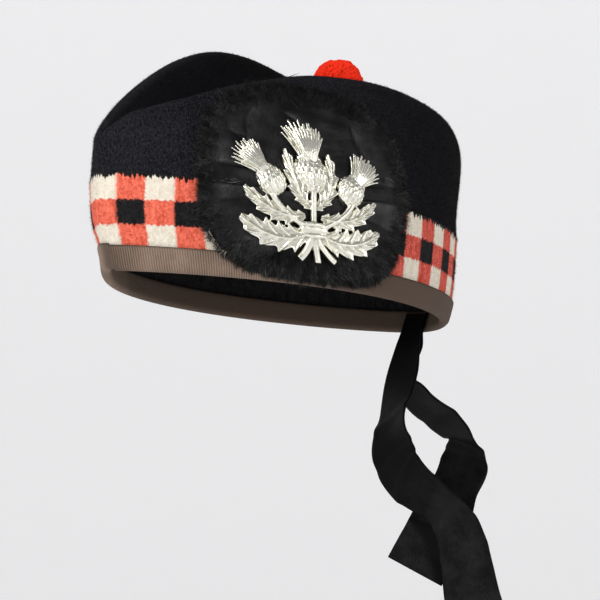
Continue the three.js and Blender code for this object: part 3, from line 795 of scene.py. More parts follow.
class Shader:
    """One node material, with the principled shader at its end."""

    def __init__(self, name: str) -> None:
        """Starts the material.

        Args:
            name: Name of the material.
        """
        self.material = bpy.data.materials.new(name)
        self.material.use_nodes = True
        self.tree = self.material.node_tree
        self.main = self.tree.nodes["Principled BSDF"]

    def node(self, kind: str, settings: dict[str, object], sockets: dict[str, object], result: str) -> Value:
        """Adds one node.

        Args:
            kind: Node type.
            settings: Properties, which are set first.
            sockets: Values or links of its inputs, by name or identifier.
            result: Output that is wanted.

        Returns:
            That output.
        """
        made = self.tree.nodes.new(kind)
        for key, value in settings.items():
            setattr(made, key, value)
        for key, value in sockets.items():
            self.feed(self.find(made.inputs, key), value)
        return Value(self, self.find(made.outputs, result))

    @staticmethod
    def find(sockets: bpy.types.bpy_prop_collection, key: str) -> Socket:
        """A socket by its identifier, or by its name among those in use."""
        exact = [s for s in sockets if s.identifier == key]
        return (exact or [s for s in sockets if s.name == key and s.enabled])[0]

    def feed(self, socket: Socket, value: object) -> None:
        """Links or sets one input."""
        if isinstance(value, Value):
            self.tree.links.new(value.socket, socket)
        elif isinstance(value, tuple) and socket.type == "RGBA":
            socket.default_value = (*value, 1.0)
        else:
            socket.default_value = value

    def math(self, operation: str, *values: "Value | float") -> Value:
        """Adds a Math node."""
        return self.node("ShaderNodeMath", {"operation": operation},
                         dict(zip(("Value", "Value_001"), values)), "Value")

    def mix(self, factor: "Value | float", low: "Value | Colour", high: "Value | Colour") -> Value:
        """A colour between two."""
        return self.node("ShaderNodeMix", {"data_type": "RGBA"},
                         {"Factor_Float": factor, "A_Color": low, "B_Color": high}, "Result_Color")

    def place(self) -> Value:
        """Object coordinates."""
        return self.node("ShaderNodeTexCoord", {}, {}, "Object")

    def pattern(self) -> tuple[Value, Value]:
        """The piece's own map.

        Returns:
            Its place across and up.
        """
        uv = self.node("ShaderNodeUVMap", {"uv_map": "pattern"}, {}, "UV")
        split = self.node("ShaderNodeSeparateXYZ", {}, {"Vector": uv}, "X")
        return split, Value(self, self.find(split.socket.node.outputs, "Y"))

    def tint(self) -> Value:
        """The piece's own colours."""
        return self.node("ShaderNodeAttribute", {"attribute_name": "tint"}, {}, "Color")

    def share(self) -> Value:
        """The piece's own tint as a share from 0 to 1."""
        return self.node("ShaderNodeSeparateColor", {}, {"Color": self.tint()}, "Red")

    def rib(self, count: Value) -> Value:
        """A ridge for each whole number, from 1 at its edges to 0 at its middle."""
        return (count.fract() - 0.5).size() * 2.0

    def scaled(self, vector: Value, scale: Triple) -> Value:
        """A vector stretched by a scale for each axis."""
        return self.node("ShaderNodeMapping", {}, {"Vector": vector, "Scale": scale}, "Vector")

    def noise(self, vector: Value, scale: float, detail: float = 2.0, roughness: float = 0.5) -> Value:
        """Smooth noise from 0 to 1; scale counts its swells in a metre."""
        return self.node("ShaderNodeTexNoise", {},
                         {"Vector": vector, "Scale": scale, "Detail": detail, "Roughness": roughness}, "Fac")

    def bump(self, height: Value, strength: float, distance: float) -> Value:
        """A normal bumped by a height."""
        return self.node("ShaderNodeBump", {},
                         {"Height": height, "Strength": strength, "Distance": distance}, "Normal")

    def finish(self, sockets: dict[str, object]) -> Material:
        """Feeds the principled shader and gives the material."""
        for key, value in sockets.items():
            self.feed(self.find(self.main.inputs, key), value)
        return self.material


@dataclass(frozen=True)
class Felt:
    """Fulled navy wool, almost black, with a short nap."""

    name: str = "navy_felt"
    deep: Colour = (0.0012, 0.0012, 0.0016)
    pale: Colour = (0.0262, 0.0253, 0.0312)
    clump_scale: float = 760.0
    clump_share: float = 0.6
    fibre_scale: float = 1900.0
    fibre_share: float = 1.1
    fibre_rise: float = 0.4
    wear_scale: float = 22.0
    wear_share: float = 0.35
    pale_edge: Pair = (1.04, 0.34)
    depth: float = 0.0007

    def make(self) -> Material:
        """Makes the finish.

        Returns:
            The new material.
        """
        s = Shader(self.name)
        at = s.place()
        clumps = s.noise(at, self.clump_scale, detail=3.0, roughness=0.6)
        fibres = s.noise(s.scaled(at, (1.0, 1.0, self.fibre_rise)), self.fibre_scale, roughness=0.6)
        wear = s.noise(at, self.wear_scale)
        pile = clumps * self.clump_share + fibres * self.fibre_share + wear * self.wear_share
        # The tint scales the pale flecks and carries the crown's painted light and shade.
        return s.finish({
            "Base Color": s.mix(pile.above(*self.pale_edge) * s.share(), self.deep, self.pale),
            "Roughness": 0.95, "Sheen Weight": 0.008, "Sheen Roughness": 0.5, "Specular IOR Level": 0.04,
            "Normal": s.bump(clumps * 0.7 + fibres * 0.5, 0.75, self.depth),
        })


@dataclass(frozen=True)
class DicedKnit:
    """Three rows of knitted dice in red, white and black, with the jagged edges of stitches."""

    name: str = "diced_knit"
    dice: int = 42
    rows: int = 3
    stitches: int = 5
    courses: int = 6
    fuzz_scale: float = 900.0
    coarse_scale: float = 330.0
    streak_scale: float = 760.0
    streak_rise: float = 0.14
    tooth: float = 0.06
    streak_up: float = 0.2
    fuzz_up: float = 0.22
    fuzz_across: float = 0.18
    coarse_across: float = 0.10
    column_soft: float = 0.16
    middle_row: float = 1.54
    middle_half: float = 0.54
    middle_soft: float = 0.035
    top_edge: float = 3.11
    top_lower: float = 0.1
    top_tooth: float = 0.08
    top_streak: float = 0.7
    top_fuzz: float = 0.14
    top_soft: float = 0.03
    loose_tooth: float = 0.4
    bright_edge: Pair = (0.86, 0.3)
    depth: float = 0.0008
    red: Colour = (0.54, 0.060, 0.031)
    bright_red: Colour = (0.95, 0.215, 0.135)
    # Darker reds for a painted shade towards the back.
    shaded_red: Colour = (0.44, 0.042, 0.027)
    bright_shaded_red: Colour = (0.81, 0.160, 0.119)
    fuzz_red: Colour = (0.76, 0.140, 0.086)
    cream: Colour = (0.69, 0.61, 0.49)
    bright_cream: Colour = (0.88, 0.81, 0.69)
    black: Colour = (0.0050, 0.0048, 0.0052)
    grey: Colour = (0.0205, 0.0197, 0.0210)

    def make(self) -> Material:
        """Makes the finish.

        Returns:
            The new material.
        """
        s = Shader(self.name)
        at = s.place()
        u, v = s.pattern()
        u, v = u * float(self.dice), v * float(self.rows)
        fuzz = s.noise(at, self.fuzz_scale, detail=3.0, roughness=0.65)
        coarse = s.noise(at, self.coarse_scale, roughness=0.6)
        streak = s.noise(s.scaled(at, (1.0, 1.0, self.streak_rise)), self.streak_scale, detail=1.0)
        stitch = s.rib(u * float(self.stitches))
        up = v - (streak - 0.5) * self.streak_up + stitch * self.tooth + (fuzz - 0.5) * self.fuzz_up
        across = u + (fuzz - 0.5) * self.fuzz_across + (coarse - 0.5) * self.coarse_across
        even = s.math("SINE", across * math.pi).above(0.0, self.column_soft)
        middle = (self.middle_half - (up - self.middle_row).size()).above(0.0, self.middle_soft)
        edge = v - (streak - 0.5) * self.top_streak + stitch * self.top_tooth + (fuzz - 0.5) * self.top_fuzz
        top = edge.above(self.top_edge - self.top_lower, self.top_soft)
        dark = s.math("MAXIMUM", (1.0 - even) * middle, top)
        white = even * (1.0 - middle)
        shade = (fuzz * 0.85 + coarse * 0.55 + streak * 0.35).above(*self.bright_edge)
        red = s.mix(shade, self.red, self.bright_red)
        # Painted shade: the reds darken towards the back with the piece's tint.
        red = s.mix(s.share(), s.mix(shade, self.shaded_red, self.bright_shaded_red), red)
        colour = s.mix(white, red, s.mix(shade, self.cream, self.bright_cream))
        colour = s.mix(dark, colour, s.mix(shade, self.black, self.grey))
        return s.finish({
            "Base Color": colour, "Roughness": 0.95, "Specular IOR Level": 0.05,
            "Normal": s.bump(fuzz * 0.8 + coarse * 0.5 - stitch * 0.08, 0.8, self.depth),
            "Sheen Weight": 0.03, "Sheen Roughness": 0.5,
        })

    def colour_at(self, u: Array, v: Array) -> Array:
        """Colours of loose fibres by their place in the pattern.

        Args:
            u: Place round the band in dice.
            v: Place up it in rows.

        Returns:
            Colours, n x 3.
        """
        odd = np.mod(np.floor(u), 2) == 1
        middle = np.floor(v) == 1
        tooth = np.abs(np.mod(u * self.stitches, 1) - 0.5) * self.loose_tooth
        colour = np.where((odd | middle)[:, None], self.fuzz_red, self.bright_cream)
        return np.where(((odd & middle) | (v + tooth > self.top_edge))[:, None], self.grey, colour)


@dataclass(frozen=True)
class Fibre:
    """Loose fibres that carry their own colours."""

    name: str
    roughness: float = 0.9
    shine: float = 0.05
    speck_scale: float = 1400.0
    speck_share: float = 0.5
    speck: Colour = (0.0, 0.0, 0.0)

    def make(self) -> Material:
        """Makes the finish.

        Returns:
            The new material.
        """
        s = Shader(self.name)
        specks = s.noise(s.place(), self.speck_scale, detail=1.0) * self.speck_share
        return s.finish({"Base Color": s.mix(specks, s.tint(), self.speck), "Roughness": self.roughness,
                         "Specular IOR Level": self.shine})


@dataclass(frozen=True)
class Grosgrain:
    """Taupe ribbon, ribbed across, dark at the front seam, with painted shade behind and painted shadow at
    its edges.
    """

    name: str = "taupe_grosgrain"
    dark: Colour = (0.090, 0.062, 0.046)
    light: Colour = (0.290, 0.205, 0.153)
    # Colour of the painted shadow along both edges.
    edge: Colour = (0.022, 0.016, 0.013)
    wear_scale: float = 45.0
    grain_scale: float = 1500.0
    # Painted shade on the far side of the bonnet, and a darker front seam.
    far_side_shade: float = 0.75
    back_edge: Pair = (0.19, 0.11)
    seam_dark: float = 0.45
    seam_edge: Pair = (0.012, 0.02)
    light_edge: Pair = (0.30, 0.42)
    edge_shadow_line: Pair = (0.465, 0.035)
    depth: float = 0.0003

    def make(self) -> Material:
        """Makes the finish.

        Returns:
            The new material.
        """
        s = Shader(self.name)
        at = s.place()
        u, v = s.pattern()
        wear = s.noise(at, self.wear_scale, detail=3.0, roughness=0.6)
        grain = s.noise(at, self.grain_scale)
        rib = s.rib(u * float(Binding.ribs))
        back = 0.5 - (u - 0.5).size()
        # Painted shade on the far side, and darker at the front seam.
        shade_and_seam_dark = back.above(*self.back_edge) * self.far_side_shade
        shade_and_seam_dark = shade_and_seam_dark + (1.0 - back.above(*self.seam_edge)) * self.seam_dark
        # The rib grooves take a painted shade as well.
        tone = (wear * 0.8 + grain * 0.35 - rib * 0.5 - shade_and_seam_dark).above(*self.light_edge)
        # A painted shadow along the top and bottom edges.
        edge_shadow = (v - 0.5).size().above(*self.edge_shadow_line)
        return s.finish({
            "Base Color": s.mix(edge_shadow, s.mix(tone, self.dark, self.light), self.edge),
            "Roughness": 0.62 + wear * 0.2, "Specular IOR Level": 0.12, "Sheen Weight": 0.02,
            "Normal": s.bump(grain - rib * 0.5, 0.3, self.depth),
        })


@dataclass(frozen=True)
class Silk:
    """Black ribbon silk: a fine weave, a soft shine, pale clouds, and painted light from each piece's tint.
    """

    name: str
    deep: Colour = (0.0012, 0.0012, 0.0013)
    # The pale end of the mix, reached with the pale clouds and the piece's painted light.
    dusty_and_lit: Colour = (0.0200, 0.0200, 0.0200)
    roughness: float = 0.5
    shine: float = 0.06
    wrinkle: float = 4.0
    cloud_scale: float = 85.0
    weave_scale: float = 1500.0
    weave_rise: float = 0.25
    crease_scale: float = 75.0
    crease_rise: float = 3.0
    dusty_edge: Pair = (0.66, 0.35)
    depth: float = 0.0003

    def make(self) -> Material:
        """Makes the finish.

        Returns:
            The new material.
        """
        s = Shader(self.name)
        at = s.place()
        cloud = s.noise(at, self.cloud_scale, detail=4.0, roughness=0.65)
        weave = s.noise(s.scaled(at, (1.0, 1.0, self.weave_rise)), self.weave_scale)
        creases = s.noise(s.scaled(at, (1.0, 1.0, self.crease_rise)), self.crease_scale, 3.0, 0.55)
        # The tint carries painted light: painted highlights and shade on the rosette's folds, painted shade
        # and shadow on the tails.
        tone = (cloud * 0.8 + weave * 0.4).above(*self.dusty_edge) * s.share()
        return s.finish({
            "Base Color": s.mix(tone, self.deep, self.dusty_and_lit), "Roughness": self.roughness + cloud * 0.18,
            "Normal": s.bump(weave + cloud * 0.5 + creases * self.wrinkle, 0.25, self.depth),
            "Specular IOR Level": self.shine,
        })


@dataclass(frozen=True)
class WhiteMetal:
    """Cast and polished white metal, a little warm, dull in its hollows."""

    name: str = "white_metal"
    bright: Colour = (0.885, 0.868, 0.755)
    dull: Colour = (0.150, 0.140, 0.100)
    pit_scale: float = 700.0
    dent_scale: float = 230.0
    film_edge: Pair = (0.82, 0.32)
    depth: float = 0.0009

    def make(self) -> Material:
        """Makes the finish.

        Returns:
            The new material.
        """
        s = Shader(self.name)
        at = s.place()
        pits = s.noise(at, self.pit_scale, detail=3.0, roughness=0.6)
        dents = s.noise(at, self.dent_scale)
        film = (1.0 - s.share() + pits * 0.3).above(*self.film_edge)
        return s.finish({
            "Base Color": s.mix(film, self.bright, self.dull), "Metallic": 1.0,
            "Roughness": 0.2 + film * 0.28 + pits * 0.08,
            "Normal": s.bump(pits * 0.25 + dents, 0.35, self.depth),
        })


@dataclass(frozen=True)
class CurledWool:
    """Clipped red wool."""

    name: str = "red_wool"
    speck: Colour = (0.60, 0.015, 0.006)
    speck_scale: float = 1100.0
    speck_edge: Pair = (0.45, 0.3)
    speck_share: float = 0.12
    depth: float = 0.0004

    def make(self) -> Material:
        """Makes the finish.

        Returns:
            The new material.
        """
        s = Shader(self.name)
        specks = s.noise(s.place(), self.speck_scale, roughness=0.6)
        share = specks.above(*self.speck_edge) * self.speck_share
        return s.finish({"Base Color": s.mix(share, s.tint(), self.speck), "Roughness": 0.95,
                         "Specular IOR Level": 0.03, "Normal": s.bump(specks, 0.5, self.depth)})


class Stance(Enum):
    """How a sheet of cloth is held."""

    HUNG = "hung"
    GATHERED = "gathered"


def dress(piece: Piece, material: Material, slot: str, *nodes: str) -> Piece:
    """Gives a piece its finish, attaches it to the root body and hides the solids that it stands for.

    Args:
        piece: The piece.
        material: Its finish.
        slot: Slot of the record; not used.
        nodes: Solids that it replaces.

    Returns:
        The piece.
    """
    piece.data.materials.clear()
    piece.data.materials.append(material)
    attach(piece, "root")
    if nodes:
        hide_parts(*nodes)
    LOG.info("%s: %d faces, in %s", piece.name, len(piece.data.polygons), material.name)
    return piece


@dataclass
class Crown:
    """The felt crown: its walls, two ridges and the fold between them."""

    half_columns: int = 110
    wall_steps: int = 46
    top_steps: int = 36
    lump: Swell = Swell(0.22, 46.0, 11)
    lump_rise: float = 14.0
    lump_axes: Triple = (0.7, 0.3, 1.0)
    # Painted light on the felt: painted shade on the folded-in top and towards the back, and a painted
    # highlight along the ridge.
    fold_rows: float = 7.0
    fold_shade: float = 0.8
    back: Pair = (-40.0, 90.0)
    back_shade: float = 0.8
    ridge_highlight: float = 0.55
    ridge_rows: float = 1.3
    inside_dust: float = 0.5
    nap_seed: int = 5
    nap_count: int = 80000
    nap_length: Pair = (0.35, 0.95)
    nap_width: float = 0.14
    nap_lean: float = 0.9
    nap_stand: float = 0.25
    nap_bend: float = 0.4
    nap_deep: float = 0.002
    nap_pale: float = 0.040
    nap_rarity: float = 5.0
    # Painted shade on the nap towards the back.
    nap_back_shade: float = 0.6
    nap_hue: Colour = (0.97, 0.96, 1.12)
    lint: float = 0.16
    lint_share: float = 0.0005
    thread_from: Triple = (45.6, -42.6, 98.9)
    thread_to: Triple = (50.6, -37.2, 103.0)
    thread_width: float = 0.5
    thread_sag: float = 0.6
    thread_strands: int = 3
    thread_steps: int = 8
    thread_grey: float = 0.006

    def face(self, inner: bool) -> Array:
        """One face of the shell.

        Args:
            inner: Whether it is the inside.

        Returns:
            Rows from the lower edge to the spine of the fold.
        """
        step = np.arange(2 * self.half_columns)
        left = step <= self.half_columns
        angle = np.pi * np.where(left, step, 2 * self.half_columns - step) / self.half_columns
        side = np.where(left, 1.0, -1.0)
        station = FORM.inner_station(angle, side) if inner else FORM.outer_station(angle, side)
        wall = FORM.wall_curve(station, np.linspace(0, 1, self.wall_steps + 1))
        top = FORM.top_curve(station, np.linspace(0, 1, self.top_steps + 1))[:, 1:]
        points = np.concatenate([wall, top], axis=1).transpose(1, 0, 2)
        loose = smooth(0, self.lump_rise, points[..., 2] - FORM.band_top)
        return points + (self.lump.over(points) * loose)[..., None] * np.array(self.lump_axes)

    def tone_and_painted_light(self, points: Array) -> Array:
        """Painted light on the felt: lightest at the front of the walls, with a painted highlight along the
        ridge, and painted shade in the fold and towards the back.

        Args:
            points: The outer face.

        Returns:
            A grey for each point.
        """
        rows = np.arange(len(points))[:, None] - self.wall_steps
        fold = smooth(0, self.fold_rows, rows.astype(float))
        back = smooth(*self.back, points[..., 1])
        # A painted highlight along the ridge, fading towards the back.
        worn = self.ridge_highlight * np.exp(-(rows / self.ridge_rows) ** 2) * (1 - back)
        return ((1 - self.back_shade * back) * (1 - self.fold_shade * fold) + worn)[..., None]

    def build(self) -> None:
        """Makes the shell and its nap."""
        outer, inner = self.face(False), self.face(True)
        skin, shell = Draft(), Draft()
        skin.grid(FORM.worn(outer))
        # The outer face's tint carries the painted light and shade.
        shell.grid(FORM.worn(outer), tint=self.tone_and_painted_light(outer))
        shell.grid(FORM.worn(inner), flip=True, tint=self.inside_dust)
        shell.grid(FORM.worn(np.stack([outer[0], inner[0]])), flip=True)
        dress(shell.mesh_object("crown_felt"), Felt().make(), "felt", "crown")
        self.nap(skin)

    def nap(self, skin: Draft) -> None:
        """Makes the short fibres that stand off the felt, with a little pale lint and one loose thread.

        Args:
            skin: The outer face.
        """
        draw = np.random.default_rng(self.nap_seed)
        count = self.nap_count
        spot, face = skin.scatter(count, draw)
        along = raised(unit(face + draw.normal(size=face.shape) * self.nap_lean), face, self.nap_stand)
        length = draw.uniform(*self.nap_length, count) * MM
        bend = draw.normal(size=face.shape) * length[:, None] * self.nap_bend
        grey = self.nap_deep + self.nap_pale * draw.random(count) ** self.nap_rarity
        # Painted shade: the nap is darker towards the back.
        grey = grey * (1 - self.nap_back_shade * smooth(*self.back, spot[:, 1] / MM))
        grey = np.where(draw.random(count) < self.lint_share, self.lint, grey)
        tint = grey[:, None, None] * np.array(self.nap_hue)
        fuzz = Draft()
        fuzz.strips(ribbons(spot, along, bend, length, self.nap_width * MM, 2, draw), tint)
        fuzz.strips(*self.thread(draw))
        dress(fuzz.mesh_object("crown_nap", joined=False), Fibre("felt_nap").make(), "felt")

    def thread(self, draw: Draws) -> Arrays:
        """The loose thread on the near ridge.

        Args:
            draw: Source of the draws.

        Returns:
            Strips and their colours.
        """
        strands, steps = self.thread_strands, self.thread_steps
        root, end = FORM.worn(np.array([self.thread_from, self.thread_to]))
        roots, line = np.tile(root, (strands, 1)), np.tile(end - root, (strands, 1))
        bend = np.tile(-UP * self.thread_sag * MM, (strands, 1))
        length = np.linalg.norm(line, axis=-1)
        strips = ribbons(roots, unit(line), bend, length, self.thread_width * MM, steps, draw)
        return strips, np.full((strands, steps, 3), self.thread_grey)


@dataclass
class DicedBand:
    """The knitted band of dice between the crown and the rim."""

    knit: DicedKnit = field(default_factory=DicedKnit)
    samples: int = 5
    levels: int = 66
    seam_left: float = 9.7
    seam_right: float = 20.0
    left_die: float = 13.85
    front_sag: float = 0.1
    sag_reach: float = 60.0
    sag_end: Pair = (2.2, 3.0)
    lean: float = 3.2
    back_blend: float = 30.0
    # Where the painted light on the reds gives way to painted shade, by length from the front.
    front_light_span: Pair = (70.0, 190.0)
    relief: float = 0.14
    relief_middle: float = 0.6
    stitch_round: float = 0.7
    course_low: float = 0.55
    hidden_foot: float = 9.0
    overlap: float = 1.3
    proud: float = 0.12
    lining: tuple[float, ...] = (31.0, 20.0, 11.0)
    lining_lap: float = 1.0
    inside_place: Pair = (0.5, 1.2)
    fuzz_seed: int = 8
    fuzz_count: int = 26000
    fuzz_edge: float = 0.3
    fuzz_out: float = 0.55
    fuzz_spread: float = 0.75
    fuzz_stand: float = 0.2
    fuzz_length: Pair = (0.5, 1.2)
    fuzz_bend: float = 0.4
    fuzz_width: float = 0.15
    fuzz_tone: Pair = (0.7, 1.1)
    # Painted shade on the red fuzz towards the back.
    fuzz_shade: float = 0.84
    red_share: float = 3.0

    def die(self, length: Array) -> Array:
        """Counts the dice; the one over the front seam is wider than the rest.

        Args:
            length: Length round the band.

        Returns:
            Place round the band in dice.
        """
        share = self.seam_right / (self.seam_left + self.seam_right)
        count, left = self.knit.dice, self.knit.dice // 2 - 1
        middle, last = self.seam_left + left * self.left_die, 2 * HALF_ROUND - self.seam_right
        return np.interp(length, [0.0, self.seam_left, middle, last, 2 * HALF_ROUND + self.seam_left],
                         [share, 1.0, left + 1.0, float(count), count + 1.0])

    def front_lit(self, length: Array) -> Array:
        """Painted light on the reds: 1 at the front, where light falls, down to 0 behind, where they take a
        painted shade.
        """
        return 1 - smooth(*self.front_light_span, from_front(length))

    @staticmethod
    def level(height: Array) -> Array:
        """Share of the way up the band."""
        return (height - FORM.binding_top) / (FORM.band_top - FORM.binding_top)

    def drift(self, length: Array, height: Array) -> Array:
        """How far the columns of dice lean towards the front on both sides, most at the foot of the band."""
        side = 1 - 2 * smooth(HALF_ROUND - self.back_blend, HALF_ROUND + self.back_blend, length)
        return self.lean * (1 - np.clip(self.level(height), 0, 1)) ** 2 * side

    def row(self, length: Array, height: Array) -> Array:
        """Counts the rows of dice, which sag a little at the front."""
        up, sag = self.level(height) * self.knit.rows, np.exp(-(from_front(length) / self.sag_reach) ** 2)
        return up + self.front_sag * sag * (1 - smooth(*self.sag_end, up))

    def build(self) -> None:
        """Makes the band and its fuzz."""
        knit = self.knit
        columns = knit.dice * knit.stitches * self.samples
        length = np.arange(columns + 1) / columns * 2 * HALF_ROUND
        height = np.linspace(self.hidden_foot, FORM.band_top + self.overlap, self.levels)
        across = self.die(length + self.drift(length, height[:, None]))
        up = self.row(length, height[:, None])
        stitch = np.abs(np.sin(np.pi * across * knit.stitches)) ** self.stitch_round
        course = np.abs(np.sin(np.pi * up * knit.courses)) ** self.stitch_round
        course = self.course_low + (1 - self.course_low) * course
        angle, side = round_place(length[:-1])
        rise = self.relief * (stitch * course - self.relief_middle)[:, :-1]
        outer = FORM.wall_point(height[:, None], angle, side, rise + self.proud - FORM.band_inset)
        lining = np.array([FORM.band_top + FORM.seam_gap, FORM.band_top - self.lining_lap, *self.lining,
                           FORM.band_foot])
        inner = FORM.wall_point(lining[:, None], angle, side, -FORM.band_inset - FORM.cloth)
        foot = np.stack([inner[-1], FORM.wall_point(FORM.band_foot, angle, side, -FORM.band_inset), outer[0]])
        places = np.stack([across / knit.dice, up / knit.rows], -1)
        inside = np.broadcast_to(np.array(self.inside_place), (len(lining), columns + 1, 2))
        # The tint carries the painted light on the reds.
        front_lit = self.front_lit(length[:-1])[:, None]
        band = Draft()
        band.grid(FORM.worn(outer), places=places, tint=front_lit)
        for face in (np.stack([outer[-1], inner[0]]), inner, foot):
            band.grid(FORM.worn(face), places=inside[:len(face)])
        dress(band.mesh_object("diced_knit"), knit.make(), "knit", "diced_band")
        self.fuzz()

    def fuzz(self) -> None:
        """Makes the loose fibres of the wool, each in the colour of its die."""
        count = self.fuzz_count
        draw = np.random.default_rng(self.fuzz_seed)
        place = draw.uniform(0, 2 * HALF_ROUND, count)
        foot, top = FORM.binding_top + self.fuzz_edge, FORM.band_top + self.overlap - self.fuzz_edge
        height = draw.uniform(foot, top, count)
        u, v = self.die(place + self.drift(place, height)), self.row(place, height)
        angle, side = round_place(place)
        root = FORM.worn(FORM.wall_point(height, angle, side, -FORM.band_inset))
        out = unit(FORM.worn(FORM.wall_point(height, angle, side, 1.0)) - root)
        along = unit(out * self.fuzz_out + draw.normal(size=out.shape) * self.fuzz_spread)
        along = raised(along, out, self.fuzz_stand)
        length = draw.uniform(*self.fuzz_length, count) * MM
        bend = draw.normal(size=out.shape) * length[:, None] * self.fuzz_bend
        tint = self.knit.colour_at(u, v) * draw.uniform(*self.fuzz_tone, (count, 1))
        # The red fuzz takes a painted shade towards the back.
        shaded_fuzz = self.fuzz_shade + (1 - self.fuzz_shade) * self.front_lit(place)[:, None]
        tint = tint * np.where(tint[:, :1] > self.red_share * tint[:, 1:2], shaded_fuzz, 1.0)
        fuzz = Draft()
        strips = ribbons(root, along, bend, length, self.fuzz_width * MM, 2, draw)
        fuzz.strips(strips, tint[:, None])
        dress(fuzz.mesh_object("diced_fuzz", joined=False), Fibre("dice_fuzz").make(), "knit")


@dataclass
class Binding:
    """The ribbon folded over the lower edge of the band."""

    ribs: int = 480
    samples: int = 5
    rib_rise: float = 0.13
    rib_round: float = 0.7
    edge: float = 0.35
    edge_turn: float = 0.14
    edge_round: float = 0.12
    edge_lap: float = 0.3
    leg_lap: float = 0.5
    out_rows: tuple[float, ...] = (9.4, 7.2, 5.2)
    in_rows: tuple[float, ...] = (5.2, 9.0)
    hem_lift: float = 0.6
    hem_steps: int = 8
    hidden_rows: int = 4
    front_rise: float = 2.0
    front_spread: float = 20.0

    def section(self) -> Array:
        """The section from the outer top edge under the rim to the inner one and back.

        Returns:
            Heights and offsets, n x 2.
        """
        out_face = FORM.seam_gap + FORM.binding_cloth - FORM.band_inset
        out_leg = FORM.seam_gap - FORM.band_inset
        in_leg = -FORM.band_inset - FORM.cloth - FORM.seam_gap
        in_face = in_leg - FORM.binding_cloth
        top, foot, web = FORM.binding_top, FORM.binding_foot, FORM.band_foot - FORM.seam_gap
        middle, half = (out_face + in_face) / 2, (out_face - in_face) / 2
        turns = np.linspace(0, np.pi, self.hem_steps + 1)
        hem_top = web + self.hem_lift
        return np.array([
            (top, out_leg + self.edge_lap), (top - self.edge_turn, out_face - self.edge_round),
            (top - self.edge, out_face), *((row, out_face) for row in self.out_rows),
            *((hem_top - (hem_top - foot) * math.sin(t), middle + half * math.cos(t)) for t in turns),
            *((row, in_face) for row in self.in_rows), (top - self.edge, in_face),
            (top - self.edge_turn, in_face + self.edge_round), (top, in_leg - self.edge_lap),
            (top - self.leg_lap, in_leg), (web, in_leg), (web, out_leg), (top - self.leg_lap, out_leg),
        ])

    def build(self) -> None:
        """Makes the binding with a real rib for each rib of the ribbon."""
        section = self.section()
        shown = len(section) - self.hidden_rows
        line = unit(np.roll(section, -1, axis=0) - np.roll(section, 1, axis=0))
        normal = np.stack([-line[:, 1], line[:, 0]], -1)
        columns = self.ribs * self.samples
        wide = np.arange(columns + 1) / columns
        angle, side = round_place(wide[:-1] * 2 * HALF_ROUND)
        rib = np.abs(np.sin(np.pi * wide[:-1] * self.ribs)) ** self.rib_round * self.rib_rise
        behind_seam = (1 - wide[:-1]) * 2 * HALF_ROUND - self.front_spread
        tilt = self.front_rise * np.exp(-(behind_seam / self.front_spread) ** 2)
        rows = []
        for k in [*range(len(section)), 0]:
            lift = rib if 0 < k < shown - 1 else np.zeros_like(rib)
            lift = lift * math.copysign(1.0, (normal[k] * (section[k] - section.mean(0))).sum())
            height = section[k, 0] + normal[k, 0] * lift + tilt
            rows.append(FORM.wall_point(height, angle, side, section[k, 1] + normal[k, 1] * lift))
        along = np.cumsum(np.linalg.norm(np.diff(section[:shown], axis=0), axis=1)).tolist()
        v = np.array([0.0, *along, *[along[-1] / 2] * self.hidden_rows, 0.0]) / along[-1]
        places = np.stack(np.meshgrid(wide, v), -1)
        ring = Draft()
        ring.grid(FORM.worn(np.array(rows)), places=places, flip=True)
        dress(ring.mesh_object("rim_binding"), Grosgrain().make(), "grosgrain", "binding")


@dataclass(frozen=True)
class RosetteForm:
    """The outline and front of the silk rosette, shared with the badge that lies on it."""

    angle: float = 1.21
    rise: float = 49.5
    half_width: float = 54.5
    half_height: float = 47.5
    squareness: float = 3.2
    front_top_squareness: float = 2.3
    skew: float = 0.1
    cloth: float = 1.8
    rim_rise: float = 2.6
    droop: float = 1.6
    droop_from: float = 0.93

    def front(self, share: Number) -> Array:
        """How far the front stands off the wall, by share of the outline."""
        return FORM.seam_gap + self.cloth + self.rim_rise * np.asarray(share) ** 2

    def fall(self, share: Array) -> Array:
        """How far the rim turns down to the wall, by share of the outline."""
        return self.droop * smooth(self.droop_from, 1.0, share)

    def share(self, across: Array, rise: Array) -> Array:
        """Share of the outline at a place measured from the middle."""
        return np.hypot(across / self.half_width, rise / self.half_height)

    def place(self, share: Array, turn: Array) -> Arrays:
        """A place by its share of the outline.

        Args:
            share: Share from the middle to the outline.
            turn: Turn round the middle, in radians from straight behind.

        Returns:
            Lengths along the wall and up it.
        """
        c, s = np.cos(turn), np.sin(turn)
        n = np.where((c < 0) & (s > 0), self.front_top_squareness, self.squareness)
        reach = share / (np.abs(c) ** n + np.abs(s) ** n) ** (1 / n)
        rise = self.half_height * reach * s
        return self.half_width * reach * c + self.skew * rise, self.rise + rise


ROSETTE = RosetteForm()
SIDE = SideMap(ROSETTE.angle)


